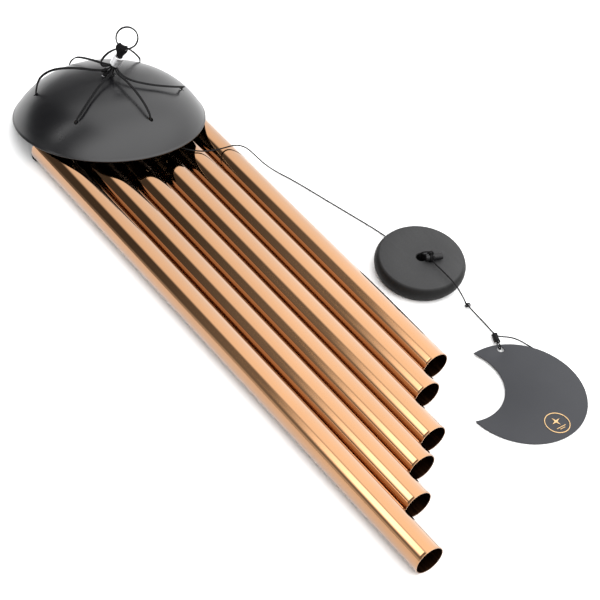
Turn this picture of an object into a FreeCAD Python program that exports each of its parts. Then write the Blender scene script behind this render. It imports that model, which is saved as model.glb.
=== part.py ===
import FreeCAD, Part
import math
import os

import Sketcher
from FreeCAD import Placement, Rotation, Vector

# Six-tube wind chime laid out on a flat surface, in millimetres.
# +X runs across the row of tubes towards the striker, +Y runs along the tubes
# towards the dome, +Z is up.  The origin is on the surface, under the middle of
# the chime.

doc = FreeCAD.newDocument("wind_chime")

# ---------------------------------------------------------------- dimensions
SIZES = [
    ("tube_diameter", 25.0),
    ("tube_wall", 0.9),
    ("tube_pitch", 25.8),
    ("first_tube_x", 19.2),
    ("tube_length_1", 364.2),
    ("tube_length_2", 385.8),
    ("tube_length_3", 420.7),
    ("tube_length_4", 445.7),
    ("tube_length_5", 472.3),
    ("tube_length_6", 515.0),
    ("tube_low_end_1", -151.5),
    ("tube_low_end_2", -172.4),
    ("tube_low_end_3", -210.2),
    ("tube_low_end_4", -228.0),
    ("tube_low_end_5", -254.7),
    ("tube_low_end_6", -299.0),
    ("cord_hole_drop", 8.0),
    ("cord_hole_diameter", 4.0),
    ("cord_hole_roll", 45.0),
    ("dome_diameter", 165.2),
    ("dome_height", 40.1),
    ("dome_wall", 1.2),
    ("dome_rim_width", 1.36),
    ("crown_radius", 150.0),
    ("knuckle_radius", 70.0),
    ("dome_tilt", 12.7),
    ("dome_lean", 80.4),
    ("dome_x", -42.7),
    ("dome_y", 218.5),
    ("outer_hole_circle", 62.0),
    ("outer_hole_diameter", 3.6),
    ("first_hole_angle", -29.5),
    ("centre_hole_diameter", 12.0),
    ("cord_diameter", 1.2),
    ("sleeve_diameter", 9.2),
    ("sleeve_bore", 6.2),
    ("sleeve_length", 9.8),
    ("ring_diameter", 20.2),
    ("ring_wire", 1.8),
    ("striker_diameter", 76.4),
    ("striker_thickness", 14.9),
    ("striker_face_inset", 3.4),
    ("striker_hole", 8.3),
    ("striker_tilt", 5.8),
    ("toggle_diameter", 6.4),
    ("toggle_length", 15.0),
    ("sail_radius", 52.8),
    ("sail_bite_radius", 39.5),
    ("sail_bite_x", -41.1),
    ("sail_bite_y", 33.6),
    ("sail_thickness", 1.2),
    ("sail_hole_x", 16.3),
    ("sail_hole_y", 44.8),
    ("sail_hole_diameter", 6.0),
    ("badge_radius", 10.5),
    ("badge_ring_width", 1.1),
    ("badge_thickness", 0.4),
]

sheet = doc.addObject("Spreadsheet::Sheet", "sizes")
for row, (alias, value) in enumerate(SIZES, start=1):
    sheet.set(f"A{row}", alias)
    sheet.set(f"B{row}", str(value))
    sheet.setAlias(f"B{row}", alias)
doc.recompute()


def size(alias):
    """Value of one cell of the sheet."""
    return float(sheet.get(alias))


TUBES = range(1, 7)
CORD = size("cord_diameter")
nodes = []


def node(feature, label, placement=None):
    """Register a finished sub-part under its own label."""
    feature.Label = label
    if placement is not None:
        feature.Placement = placement
    nodes.append(feature)
    return feature


# ------------------------------------------------------------ simple solids
def primitive(kind, name, placement=None, **expressions):
    """A Part primitive whose sizes are bound to the sheet."""
    feature = doc.addObject(f"Part::{kind}", name)
    for prop, expression in expressions.items():
        feature.setExpression(prop, expression)
    if placement is not None:
        feature.Placement = placement
    return feature


def cut(name, base, tool):
    feature = doc.addObject("Part::Cut", name)
    feature.Base = base
    feature.Tool = tool
    return feature


def fuse(name, shapes):
    feature = doc.addObject("Part::MultiFuse", name)
    feature.Shapes = shapes
    return feature


def facing(direction):
    """Rotation that takes local +Z to a direction."""
    return Rotation(Vector(0, 0, 1), direction)


def origin_plane(body, role):
    for feature in body.Origin.OriginFeatures:
        if feature.Role == role:
            return feature
    raise ValueError(role)


def body_sketch(body, name, role):
    """A sketch on one of its body's origin planes."""
    sketch = body.newObject("Sketcher::SketchObject", name)
    sketch.AttachmentSupport = [(origin_plane(body, role), "")]
    sketch.MapMode = "FlatFace"
    return sketch


def bind(sketch, kind, elements, expression, guess):
    """Add one dimension to a sketch and tie it to the sheet."""
    index = sketch.addConstraint(Sketcher.Constraint(kind, *elements, guess))
    sketch.setExpression(f"Constraints[{index}]", expression)
    return index


def circle_sketch(body, name, role, centre, diameter_expression, diameter, x_expr="", y_expr=""):
    """One circle, placed by dimensions from the origin where they are given."""
    sketch = body_sketch(body, name, role)
    sketch.addGeometry(Part.Circle(Vector(centre[0], centre[1], 0), Vector(0, 0, 1), diameter / 2))
    bind(sketch, "Diameter", (0,), diameter_expression, diameter)
    if x_expr:
        bind(sketch, "DistanceX", (-1, 1, 0, 3), x_expr, centre[0])
        bind(sketch, "DistanceY", (-1, 1, 0, 3), y_expr, centre[1])
    else:
        sketch.addConstraint(Sketcher.Constraint("Coincident", 0, 3, -1, 1))
    return sketch


# -------------------------------------------------------------------- tubes
def tube_x(number):
    return size("first_tube_x") - size("tube_pitch") * (number - 1)


def tube_top(number):
    return size(f"tube_low_end_{number}") + size(f"tube_length_{number}")


def cord_hole_y(number):
    return tube_top(number) - size("cord_hole_drop")


def make_tube(number):
    """Open tube with a cross hole for its cord, lying along +Y on the surface."""
    length = f"sizes.tube_length_{number}"
    outside = primitive("Cylinder", f"tube_{number}_outside", Radius="sizes.tube_diameter / 2", Height=length)
    inside = primitive(
        "Cylinder", f"tube_{number}_inside", Radius="sizes.tube_diameter / 2 - sizes.tube_wall", Height=length
    )
    wall = cut(f"tube_{number}_wall", outside, inside)
    roll = math.radians(size("cord_hole_roll"))
    across = Vector(math.cos(roll), -math.sin(roll), 0)
    reach = size("tube_diameter") * 0.6
    start = Vector(0, 0, size(f"tube_length_{number}") - size("cord_hole_drop")) - across * reach
    drill = primitive(
        "Cylinder",
        f"tube_{number}_drill",
        Placement(start, facing(across)),
        Radius="sizes.cord_hole_diameter / 2",
        Height="sizes.tube_diameter * 1.2",
    )
    lying = Rotation(Vector(1, 0, 0), -90)
    base = Vector(tube_x(number), size(f"tube_low_end_{number}"), size("tube_diameter") / 2)
    node(cut(f"tube_{number}_drilled", wall, drill), f"tube_{number}", Placement(base, lying))


for number in TUBES:
    make_tube(number)

# --------------------------------------------------------------------- dome
dome_turn = Rotation(
    Vector(-math.sin(math.radians(size("dome_lean"))), math.cos(math.radians(size("dome_lean"))), 0),
    size("dome_tilt"),
)
dome_place = Placement(
    Vector(
        size("dome_x"),
        size("dome_y"),
        size("dome_diameter") / 2 * math.sin(math.radians(size("dome_tilt"))),
    ),
    dome_turn,
)
dome_up = dome_turn.multVec(Vector(0, 0, 1))


def dome_arcs(inset):
    """Centres and radii of the crown and knuckle arcs, moved in by inset."""
    crown = size("crown_radius")
    knuckle = size("knuckle_radius")
    rim = size("dome_diameter") / 2
    crown_z = size("dome_height") - crown
    # The knuckle's centre is crown - knuckle from the crown's, and knuckle from the rim.
    to_rim = math.hypot(rim, crown_z)
    gap = crown - knuckle
    along = (gap ** 2 - knuckle ** 2 + to_rim ** 2) / (2 * to_rim)
    off = math.sqrt(gap ** 2 - along ** 2)
    ux, uz = rim / to_rim, -crown_z / to_rim
    knuckle_x = along * ux - off * uz
    knuckle_z = crown_z + along * uz + off * ux
    return crown_z, crown - inset, knuckle_x, knuckle_z, knuckle - inset


def dome_height_at(radius, inset=0.0):
    """Height of the dome's surface above the rim plane at a radius."""
    crown_z, crown, knuckle_x, knuckle_z, knuckle = dome_arcs(inset)
    slope = knuckle_x / (size("crown_radius") - size("knuckle_radius"))
    if radius <= crown * slope:
        return crown_z + math.sqrt(crown ** 2 - radius ** 2)
    return knuckle_z + math.sqrt(knuckle ** 2 - (radius - knuckle_x) ** 2)


def dome_point(radius, angle, above=0.0):
    """Point above the dome's outer surface, by radius and angle in its rim plane."""
    turn = math.radians(angle)
    height = dome_height_at(radius) + above
    return dome_place.multVec(Vector(radius * math.cos(turn), radius * math.sin(turn), height))


def dome_profile(body, name, inset, inset_expression, rim_expression):
    """Half section of the dome's outside, or of its inside where it is inset."""
    profile = body_sketch(body, name, "XZ_Plane")
    crown_z, crown, knuckle_x, knuckle_z, knuckle = dome_arcs(inset)
    rim = knuckle_x + math.sqrt(knuckle ** 2 - knuckle_z ** 2)
    top = crown_z + crown
    blend = math.atan2(knuckle_z - crown_z, knuckle_x)
    rim_angle = math.atan2(-knuckle_z, rim - knuckle_x)
    up = Vector(0, 0, 1)
    knuckle_arc = Part.Circle(Vector(knuckle_x, knuckle_z, 0), up, knuckle)
    crown_arc = Part.Circle(Vector(0, crown_z, 0), up, crown)
    profile.addGeometry(Part.ArcOfCircle(knuckle_arc, rim_angle, blend))
    profile.addGeometry(Part.ArcOfCircle(crown_arc, blend, math.pi / 2))
    profile.addGeometry(Part.LineSegment(Vector(0, top, 0), Vector(0, 0, 0)))
    profile.addGeometry(Part.LineSegment(Vector(0, 0, 0), Vector(rim, 0, 0)))
    profile.addConstraint(Sketcher.Constraint("Coincident", 2, 2, -1, 1))
    profile.addConstraint(Sketcher.Constraint("Coincident", 3, 1, -1, 1))
    profile.addConstraint(Sketcher.Constraint("Vertical", 2))
    profile.addConstraint(Sketcher.Constraint("Horizontal", 3))
    profile.addConstraint(Sketcher.Constraint("Coincident", 1, 2, 2, 1))
    profile.addConstraint(Sketcher.Constraint("Coincident", 0, 1, 3, 2))
    profile.addConstraint(Sketcher.Constraint("PointOnObject", 1, 3, -2))
    profile.addConstraint(Sketcher.Constraint("Tangent", 0, 2, 1, 1))
    bind(profile, "DistanceY", (2, 2, 2, 1), f"sizes.dome_height - {inset_expression}", top)
    bind(profile, "DistanceX", (3, 1, 3, 2), rim_expression, rim)
    bind(profile, "Radius", (1,), f"sizes.crown_radius - {inset_expression}", crown)
    bind(profile, "Radius", (0,), f"sizes.knuckle_radius - {inset_expression}", knuckle)
    return profile


def make_dome():
    """Thin bowl spun from a crown arc and a knuckle arc, with cord holes."""
    body = doc.addObject("PartDesign::Body", "dome_body")
    outside = dome_profile(body, "dome_outside", 0.0, "0", "sizes.dome_diameter / 2")
    spin = body.newObject("PartDesign::Revolution", "dome_spin")
    spin.Profile = outside
    spin.ReferenceAxis = (outside, ["V_Axis"])
    spin.Angle = 360.0
    doc.recompute()
    inside = dome_profile(
        body,
        "dome_inside",
        size("dome_wall"),
        "sizes.dome_wall",
        "sizes.dome_diameter / 2 - sizes.dome_rim_width",
    )
    hollow = body.newObject("PartDesign::Groove", "dome_hollow")
    hollow.Profile = inside
    hollow.ReferenceAxis = (inside, ["V_Axis"])
    hollow.Angle = 360.0
    doc.recompute()
    print(f"dome hollowed from {spin.Shape.Volume:.0f} to {hollow.Shape.Volume:.0f}")

    centre = circle_sketch(
        body,
        "centre_hole_circle",
        "XY_Plane",
        (0, 0),
        "sizes.centre_hole_diameter",
        size("centre_hole_diameter"),
    )
    centre_hole = body.newObject("PartDesign::Pocket", "centre_hole")
    centre_hole.Profile = centre
    centre_hole.Type = "ThroughAll"
    centre_hole.Reversed = True
    doc.recompute()

    radius = size("outer_hole_circle")
    angle = math.radians(size("first_hole_angle"))
    outer = circle_sketch(
        body,
        "outer_hole_circle_sketch",
        "XY_Plane",
        (radius * math.cos(angle), radius * math.sin(angle)),
        "sizes.outer_hole_diameter",
        size("outer_hole_diameter"),
        "sizes.outer_hole_circle * cos(sizes.first_hole_angle * 1 deg)",
        "sizes.outer_hole_circle * sin(sizes.first_hole_angle * 1 deg)",
    )
    outer_hole = body.newObject("PartDesign::Pocket", "outer_hole")
    outer_hole.Profile = outer
    outer_hole.Type = "ThroughAll"
    outer_hole.Reversed = True
    doc.recompute()
    pattern = body.newObject("PartDesign::PolarPattern", "outer_holes")
    pattern.Originals = [outer_hole]
    pattern.Axis = (origin_plane(body, "Z_Axis"), [""])
    pattern.Angle = 360.0
    pattern.Occurrences = 6
    body.Tip = pattern
    doc.recompute()
    return node(body, "dome", dome_place)


dome = make_dome()

# ------------------------------------------------- sleeve, ring and bundle
apex = dome_place.multVec(Vector(0, 0, size("dome_height")))
sleeve_foot = Vector(-38.1, 224.0, 69.6)
sleeve_axis = Vector(0.213, -0.213, 0.954)
sleeve_axis.normalize()
sleeve_top = sleeve_foot + sleeve_axis * size("sleeve_length")
sleeve_east = Vector(1, 0, 0) - sleeve_axis * sleeve_axis.x
sleeve_east.normalize()
sleeve_north = sleeve_axis.cross(sleeve_east)
sleeve_place = Placement(sleeve_foot, facing(sleeve_axis))

sleeve_outside = primitive(
    "Cylinder", "sleeve_outside", Radius="sizes.sleeve_diameter / 2", Height="sizes.sleeve_length"
)
sleeve_inside = primitive(
    "Cylinder", "sleeve_inside", Radius="sizes.sleeve_bore / 2", Height="sizes.sleeve_length"
)
node(cut("sleeve_wall", sleeve_outside, sleeve_inside), "crimp_sleeve", sleeve_place)
node(
    primitive("Cylinder", "gripped_strands", Radius="sizes.sleeve_bore / 2", Height="sizes.sleeve_length"),
    "cord_bundle",
    sleeve_place,
)

# The ring stands on the cord loops and leans back over the dome.
ring_normal = Vector(-0.514, -0.518, 0.683)
ring_normal.normalize()
ring_foot = Vector(-34.6, 221.0, 87.6)
ring_up = Vector(0.646, 0.293, 0.706)
ring_up = ring_up - ring_normal * ring_up.dot(ring_normal)
ring_up.normalize()
ring_side = ring_normal.cross(ring_up)
ring_radius = (size("ring_diameter") - size("ring_wire")) / 2
ring_centre = ring_foot + ring_up * ring_radius
node(
    primitive(
        "Torus",
        "ring_wire_loop",
        Radius1="(sizes.ring_diameter - sizes.ring_wire) / 2",
        Radius2="sizes.ring_wire / 2",
    ),
    "hanging_ring",
    Placement(ring_centre, facing(ring_normal)),
)


# -------------------------------------------------------------------- cords
def cord_path(points):
    """Straight runs joined by tangent arcs, each as large as its two runs allow."""
    radii = []
    corners = []
    for before, corner, after in zip(points, points[1:], points[2:]):
        back = before - corner
        ahead = after - corner
        run = min(back.Length, ahead.Length)
        turn = math.pi - back.getAngle(ahead)
        radius = 0.45 * run / math.tan(turn / 2)
        radii.append(radius)
        trim = 0.45 * run
        enter = corner + back.normalize() * trim
        leave = corner + ahead.normalize() * trim
        inward = (back + ahead).normalize()
        middle = corner + inward * (math.hypot(radius, trim) - radius)
        corners.append((enter, middle, leave))
    edges = []
    last = points[0]
    for enter, middle, leave in corners:
        edges.append(Part.LineSegment(last, enter).toShape())
        edges.append(Part.Arc(enter, middle, leave).toShape())
        last = leave
    edges.append(Part.LineSegment(last, points[-1]).toShape())
    return Part.Wire(edges), radii


def cord_solid(points):
    """Round cord along a route, with its volume checked against its length."""
    path, radii = cord_path(points)
    heading = points[1] - points[0]
    section = Part.Wire(Part.Circle(points[0], heading, CORD / 2).toShape())
    solid = path.makePipeShell([section], True, False)
    expected = math.pi * CORD ** 2 / 4 * path.Length
    if abs(solid.Volume / expected - 1) > 0.02:
        raise ValueError(f"cord volume {solid.Volume:.1f} differs from {expected:.1f}")
    return solid, path.Length, radii


def make_cord(label, routes):
    """A node of one or more cord tubes."""
    solids = []
    for points in routes:
        solid, length, radii = cord_solid(points)
        solids.append(solid)
        tightest = min(radii) / CORD
        print(f"{label}: length {length:.1f}, tightest bend {tightest:.1f} diameters,",
              "radii", [round(radius, 1) for radius in radii])
    feature = doc.addObject("Part::Feature", f"{label}_tube")
    feature.Shape = solids[0] if len(solids) == 1 else Part.makeCompound(solids)
    return node(feature, label, Placement())


def strand_start(ring_radius, angle, depth=0.0):
    """Point below the sleeve's foot where one strand comes out."""
    turn = math.radians(angle)
    offset = sleeve_east * math.cos(turn) + sleeve_north * math.sin(turn)
    return sleeve_foot + offset * ring_radius - sleeve_axis * depth


def hole_point(index, above):
    """Point on the axis of one of the dome's outer holes."""
    angle = size("first_hole_angle") - 60.0 * index
    return dome_point(size("outer_hole_circle"), angle, above)


CORD_PITCH = 1.3
LEG_RING = CORD_PITCH * math.sqrt(3)
JOIN_DROP = -4.0
JOIN_RUN = 3.6

# Each leg: angle at the sleeve, hole index, then the points between.
LEGS = {
    1: (-30, 0, [(-37.0, 214.5, 64.2), (-33.6, 206.6, 63.6), (-27.0, 199.8, 63.0), (-18.0, 194.2, 61.4),
                 (-6.0, 190.0, 58.6), (5.0, 188.4, 55.2), (11.6, 190.0, 52.0)]),
    2: (90, 5, [(-40.9, 229.2, 65.2), (-45.3, 230.4, 64.8), (-48.3, 230.5, 68.3), (-48.1, 230.6, 73.3),
                (-44.0, 231.4, 76.6), (-36.6, 233.6, 77.0), (-26.4, 237.7, 73.2), (-15.3, 243.3, 65.9),
                (-5.0, 248.1, 56.7), (3.3, 251.5, 47.0), (9.1, 253.2, 39.7)]),
    3: (-90, 1, [(-39.4, 217.6, 65.0), (-39.8, 210.6, 66.2), (-40.2, 200.0, 67.8), (-40.7, 187.0, 67.2),
                 (-40.8, 176.4, 65.0), (-41.0, 168.0, 61.6)]),
    4: (30, 4, [(-38.6, 230.4, 64.0), (-41.0, 238.6, 61.0), (-42.2, 248.6, 57.4), (-42.4, 259.6, 52.0),
                (-42.2, 270.0, 46.4), (-42.2, 278.6, 40.2)]),
    5: (150, 3, [(-44.6, 227.0, 62.6), (-51.4, 232.4, 61.2), (-60.0, 239.4, 61.2), (-70.0, 245.0, 61.6),
                 (-80.5, 250.0, 60.6), (-88.5, 253.2, 56.6), (-93.4, 255.0, 50.0)]),
    6: (-150, 2, [(-44.0, 219.6, 64.4), (-51.0, 215.8, 64.2), (-61.5, 210.8, 63.6), (-73.5, 203.6, 61.6),
                  (-84.5, 197.0, 58.6), (-91.6, 193.4, 55.2)]),
}

for number in TUBES:
    angle, hole, middle = LEGS[number]
    start = strand_start(LEG_RING, angle)
    route = [start, strand_start(LEG_RING, angle, 3.2)]
    route += [Vector(*point) for point in middle]
    route += [hole_point(hole, 2.4), hole_point(hole, JOIN_DROP)]
    make_cord(f"leg_cord_{number}", [route])

# Under the dome each tube hangs on one cord: down from its leg, through the
# tube's cross holes, along the groove beside the tube and up to the sleeve.
# Each entry: place in the strand cluster (None is its middle), points from the
# dome's hole to the tube, then points from the groove to the cluster.
HANGERS = {
    1: (0, [(14.0, 194.5, 35.5), (19.6, 198.6, 29.0), (25.6, 202.4, 26.2)],
        [(9.6, 214.0, 3.2), (6.0, 221.0, 7.6), (-2.6, 224.6, 17.0), (-13.6, 225.8, 28.4),
         (-26.6, 226.2, 40.4)]),
    2: (60, [(11.0, 249.6, 25.6), (9.4, 236.0, 24.8), (8.0, 220.0, 27.4), (5.8, 209.0, 28.6)],
        [(-16.4, 215.0, 3.2), (-18.0, 222.4, 8.4), (-22.8, 227.4, 19.6), (-29.0, 228.8, 31.6),
         (-35.6, 228.6, 42.6)]),
    3: (None, [(-40.0, 167.6, 42.6), (-36.6, 176.0, 38.6), (-30.8, 187.0, 35.0), (-24.4, 197.0, 30.4)],
        [(-42.6, 212.0, 3.2), (-43.6, 220.0, 8.0), (-44.0, 225.6, 18.6), (-43.8, 227.6, 30.6),
         (-43.2, 228.0, 42.6)]),
    4: (120, [(-42.8, 277.0, 20.4), (-43.4, 262.0, 19.6), (-44.2, 244.0, 23.6), (-45.6, 226.0, 27.4),
              (-47.0, 214.0, 26.6)],
        [(-68.2, 219.0, 3.2), (-67.0, 226.0, 8.6), (-61.8, 230.6, 20.0), (-54.8, 231.6, 32.0),
         (-48.8, 230.6, 43.2)]),
    5: (180, [(-95.0, 249.6, 27.0), (-91.6, 238.0, 25.2), (-84.6, 224.0, 27.0), (-76.6, 213.0, 27.6)],
        [(-94.0, 219.0, 3.2), (-91.0, 226.0, 8.2), (-82.4, 229.6, 18.4), (-71.0, 230.4, 29.4),
         (-58.0, 229.6, 41.0)]),
    6: (240, [(-95.6, 195.6, 39.0), (-96.6, 199.6, 32.0), (-98.0, 204.0, 27.4)],
        [(-120.0, 217.6, 2.6), (-116.4, 223.4, 7.4), (-104.0, 225.0, 16.6), (-86.0, 224.8, 28.4),
         (-66.0, 225.0, 39.6)]),
}
FAN_DEPTH = 17.6


def make_hanger(number):
    """The part of one tube's cord below the dome."""
    hole = LEGS[number][1]
    place, down, up = HANGERS[number]
    roll = math.radians(size("cord_hole_roll"))
    outward = Vector(math.cos(roll), 0, math.sin(roll))
    middle = Vector(tube_x(number), cord_hole_y(number), size("tube_diameter") / 2)
    route = [hole_point(hole, JOIN_DROP), hole_point(hole, JOIN_DROP - JOIN_RUN)]
    route += [Vector(*point) for point in down]
    route += [middle + outward * 17.0, middle - outward * 14.7]
    route += [Vector(*point) for point in up]
    if place is None:
        route += [strand_start(0, 0, FAN_DEPTH), strand_start(0, 0)]
    else:
        route += [strand_start(CORD_PITCH, place, FAN_DEPTH), strand_start(CORD_PITCH, place)]
    make_cord(f"hanger_cord_{number}", [route])


for number in TUBES:
    make_hanger(number)


def make_ring_cords():
    """Seven cords looped over the ring's wire, both strands of each in the sleeve."""
    reach = size("ring_wire") / 2 + 0.3 + CORD / 2
    routes = []
    for index in range(-3, 4):
        turn = 1.4 * index / ring_radius
        outward = ring_side * math.sin(turn) - ring_up * math.cos(turn)
        wire = ring_centre + outward * ring_radius
        near = 0.65 if index % 2 else 1.85
        strand = ring_side * (0.7 * index)
        strand -= sleeve_axis * strand.dot(sleeve_axis)
        front = ring_normal - sleeve_axis * ring_normal.dot(sleeve_axis)
        front.normalize()
        first = sleeve_top + strand + front * near
        last = sleeve_top + strand - front * near
        routes.append([
            first,
            first + sleeve_axis * 1.6,
            wire + ring_normal * reach + outward * 2.6,
            wire + ring_normal * reach - outward * reach,
            wire - ring_normal * reach - outward * reach,
            wire - ring_normal * reach + outward * 2.0,
            last + sleeve_axis * 1.6,
            last,
        ])
    return make_cord("ring_cords", routes)


make_ring_cords()

# ------------------------------------------------------------------ striker
striker_axis = Rotation(Vector(0.532, -0.847, 0), size("striker_tilt")).multVec(Vector(0, 0, 1))
striker_foot = Vector(87.1, -51.5, 3.5)
striker_place = Placement(striker_foot, facing(striker_axis))


def on_striker(x, y, up):
    """Point over the striker's upper face, by row directions and height above it."""
    base = striker_foot + striker_axis * (size("striker_thickness") + up)
    east = Vector(1, 0, 0) - striker_axis * striker_axis.x
    east.normalize()
    north = striker_axis.cross(east)
    return base + east * x + north * y


def make_striker():
    """Turned disc with a rounded side and a hole for the cord."""
    body = doc.addObject("PartDesign::Body", "striker_body")
    profile = body_sketch(body, "striker_profile", "XZ_Plane")
    thick = size("striker_thickness")
    hole = size("striker_hole") / 2
    face = size("striker_diameter") / 2 - size("striker_face_inset")
    corners = [Vector(hole, 0, 0), Vector(face, 0, 0), Vector(face, thick, 0), Vector(hole, thick, 0)]
    bulge = Vector(size("striker_diameter") / 2, thick / 2, 0)
    profile.addGeometry(Part.LineSegment(corners[0], corners[1]))
    profile.addGeometry(Part.Arc(corners[1], bulge, corners[2]))
    profile.addGeometry(Part.LineSegment(corners[2], corners[3]))
    profile.addGeometry(Part.LineSegment(corners[3], corners[0]))
    for first, second in ((0, 1), (1, 2), (2, 3), (3, 0)):
        profile.addConstraint(Sketcher.Constraint("Coincident", first, 2, second, 1))
    profile.addConstraint(Sketcher.Constraint("Horizontal", 0))
    profile.addConstraint(Sketcher.Constraint("Horizontal", 2))
    profile.addConstraint(Sketcher.Constraint("Vertical", 3))
    profile.addConstraint(Sketcher.Constraint("PointOnObject", 0, 1, -1))
    face_expression = "sizes.striker_diameter / 2 - sizes.striker_face_inset"
    bind(profile, "DistanceX", (-1, 1, 0, 1), "sizes.striker_hole / 2", hole)
    bind(profile, "DistanceX", (-1, 1, 0, 2), face_expression, face)
    bind(profile, "DistanceX", (-1, 1, 2, 1), face_expression, face)
    bind(profile, "DistanceY", (0, 2, 2, 1), "sizes.striker_thickness", thick)
    inset = size("striker_face_inset")
    bind(
        profile,
        "Radius",
        (1,),
        "(sizes.striker_thickness ^ 2 / 4 + sizes.striker_face_inset ^ 2) / (2 * sizes.striker_face_inset)",
        (thick ** 2 / 4 + inset ** 2) / (2 * inset),
    )
    spin = body.newObject("PartDesign::Revolution", "striker_spin")
    spin.Profile = profile
    spin.ReferenceAxis = (profile, ["V_Axis"])
    spin.Angle = 360.0
    return node(body, "striker_disc", striker_place)


make_striker()

# A short round toggle, knotted to the cord, lies across the striker's hole.
FACE_GAP = 0.3
toggle_height = size("toggle_diameter") / 2 + FACE_GAP
toggle_start = on_striker(-0.2, -4.6, toggle_height)
toggle_axis = (on_striker(13.4, -9.8, toggle_height) - toggle_start).normalize()
toggle_place = Placement(toggle_start, facing(toggle_axis))
toggle_rod = primitive(
    "Cylinder", "toggle_rod", Radius="sizes.toggle_diameter / 2", Height="sizes.toggle_length"
)
doc.recompute()
toggle = doc.addObject("Part::Fillet", "toggle_rounded")
toggle.Base = toggle_rod
toggle.Edges = [(1, 0.8, 0.8), (3, 0.8, 0.8)]
node(toggle, "toggle_bead", toggle_place)

HITCH_ALONG = 4.6


def make_hitch():
    """Two turns of cord knotted round the toggle, cut clear of the striker's face."""
    turns = []
    for index in range(2):
        turns.append(primitive(
            "Torus",
            f"hitch_turn_{index + 1}",
            Placement(Vector(0, 0, HITCH_ALONG + 1.1 * index), Rotation()),
            Radius1="(sizes.toggle_diameter + sizes.cord_diameter) / 2 + 0.05",
            Radius2="sizes.cord_diameter / 2",
        ))
    return fuse("hitch_turns", turns)


hitch_turns = make_hitch()
hitch_turns.Placement = toggle_place
face_block = primitive(
    "Cylinder",
    "hitch_face_block",
    striker_place,
    Radius="sizes.striker_diameter / 2",
    Height=f"sizes.striker_thickness + {FACE_GAP}",
)
node(cut("hitch_flattened", hitch_turns, face_block), "toggle_hitch")


def lump(name, along, length, width):
    """One rounded lump of a knot, on the knot's own axis."""
    ellipsoid = doc.addObject("Part::Ellipsoid", name)
    ellipsoid.Radius1 = length / 2
    ellipsoid.Radius2 = width / 2
    ellipsoid.Radius3 = width / 2
    ellipsoid.Placement = Placement(Vector(0, 0, along), Rotation())
    return ellipsoid


KNOT_WIDTH = 3.4
MID_KNOT_LENGTH = 4.2
mid_knot = Vector(96.9, -103.6, 1.9)
line_heading = Vector(-0.04, -1, -0.02).normalize()
mid_knot_place = Placement(mid_knot, facing(line_heading))
node(lump("mid_knot_lump", 0.0, MID_KNOT_LENGTH, KNOT_WIDTH), "mid_knot", mid_knot_place)

# --------------------------------------------------------------------- sail
sail_centre = Vector(70.3, -201.7, 0.0)
to_hole = Vector(size("sail_hole_x"), size("sail_hole_y"), 0).normalize()
across_sail = Vector(to_hole.y, -to_hole.x, 0)
SAIL_TILT = 1.0
sail_turn = Rotation(across_sail, SAIL_TILT)
sail_lift = size("sail_radius") * math.sin(math.radians(SAIL_TILT))
sail_place = Placement(sail_centre + Vector(0, 0, sail_lift), sail_turn)


def sail_point(out, up):
    """Point on the line from the sail's middle through its hole, up from its lower face."""
    return sail_place.multVec(to_hole * out + Vector(0, 0, up))


def make_sail():
    """Crescent plate: a disc with a smaller disc bitten out, and a hole for the cord."""
    disc = primitive("Cylinder", "sail_blank", Radius="sizes.sail_radius", Height="sizes.sail_thickness")
    bite = primitive("Cylinder", "sail_bite", Radius="sizes.sail_bite_radius", Height="sizes.sail_thickness")
    bite.setExpression("Placement.Base.x", "sizes.sail_bite_x")
    bite.setExpression("Placement.Base.y", "sizes.sail_bite_y")
    crescent = cut("sail_crescent", disc, bite)
    hole = primitive(
        "Cylinder", "sail_hole", Radius="sizes.sail_hole_diameter / 2", Height="sizes.sail_thickness"
    )
    hole.setExpression("Placement.Base.x", "sizes.sail_hole_x")
    hole.setExpression("Placement.Base.y", "sizes.sail_hole_y")
    return node(cut("sail_drilled", crescent, hole), "wind_sail", sail_place)


def make_badge():
    """Thin ring with a four-pointed star inside, on the sail's upper face."""
    outer = primitive("Cylinder", "badge_outer", Radius="sizes.badge_radius", Height="sizes.badge_thickness")
    inner = primitive(
        "Cylinder",
        "badge_inner",
        Radius="sizes.badge_radius - sizes.badge_ring_width",
        Height="sizes.badge_thickness",
    )
    band = cut("badge_band", outer, inner)
    body = doc.addObject("PartDesign::Body", "badge_star_body")
    star = body_sketch(body, "badge_star_outline", "XY_Plane")
    tips = []
    for index in range(8):
        reach = size("badge_radius") - size("badge_ring_width") / 2 if index % 2 == 0 else 2.2
        turn = math.radians(45 * index + 12)
        tips.append(Vector(reach * math.cos(turn), reach * math.sin(turn), 0))
    for index in range(8):
        star.addGeometry(Part.LineSegment(tips[index], tips[(index + 1) % 8]))
    for index in range(8):
        star.addConstraint(Sketcher.Constraint("Coincident", index, 2, (index + 1) % 8, 1))
    pad = body.newObject("PartDesign::Pad", "badge_star")
    pad.Profile = star
    pad.setExpression("Length", "sizes.badge_thickness")
    spot = sail_place.multVec(Vector(3.1, -38.2, size("sail_thickness")))
    return node(fuse("badge_parts", [band, body]), "sail_badge", Placement(spot, sail_turn))


make_sail()
make_badge()

# The sail's knot is a stack of turns lying between the line and the sail's hole.
SAIL_KNOT_WIDTH = 3.6
knot_top = Vector(94.4, -139.6, 2.1)
knot_end = sail_point(55.0, 1.0)
knot_heading = knot_end - knot_top
sail_knot_length = knot_heading.Length
knot_heading.normalize()
knot_lumps = [
    lump("sail_knot_head", 1.9, 4.4, SAIL_KNOT_WIDTH),
    lump("sail_knot_barrel", sail_knot_length / 2, 7.4, SAIL_KNOT_WIDTH),
    lump("sail_knot_foot", sail_knot_length - 1.9, 4.4, SAIL_KNOT_WIDTH),
]
node(fuse("sail_knot_lumps", knot_lumps), "sail_knot", Placement(knot_top, facing(knot_heading)))

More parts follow.
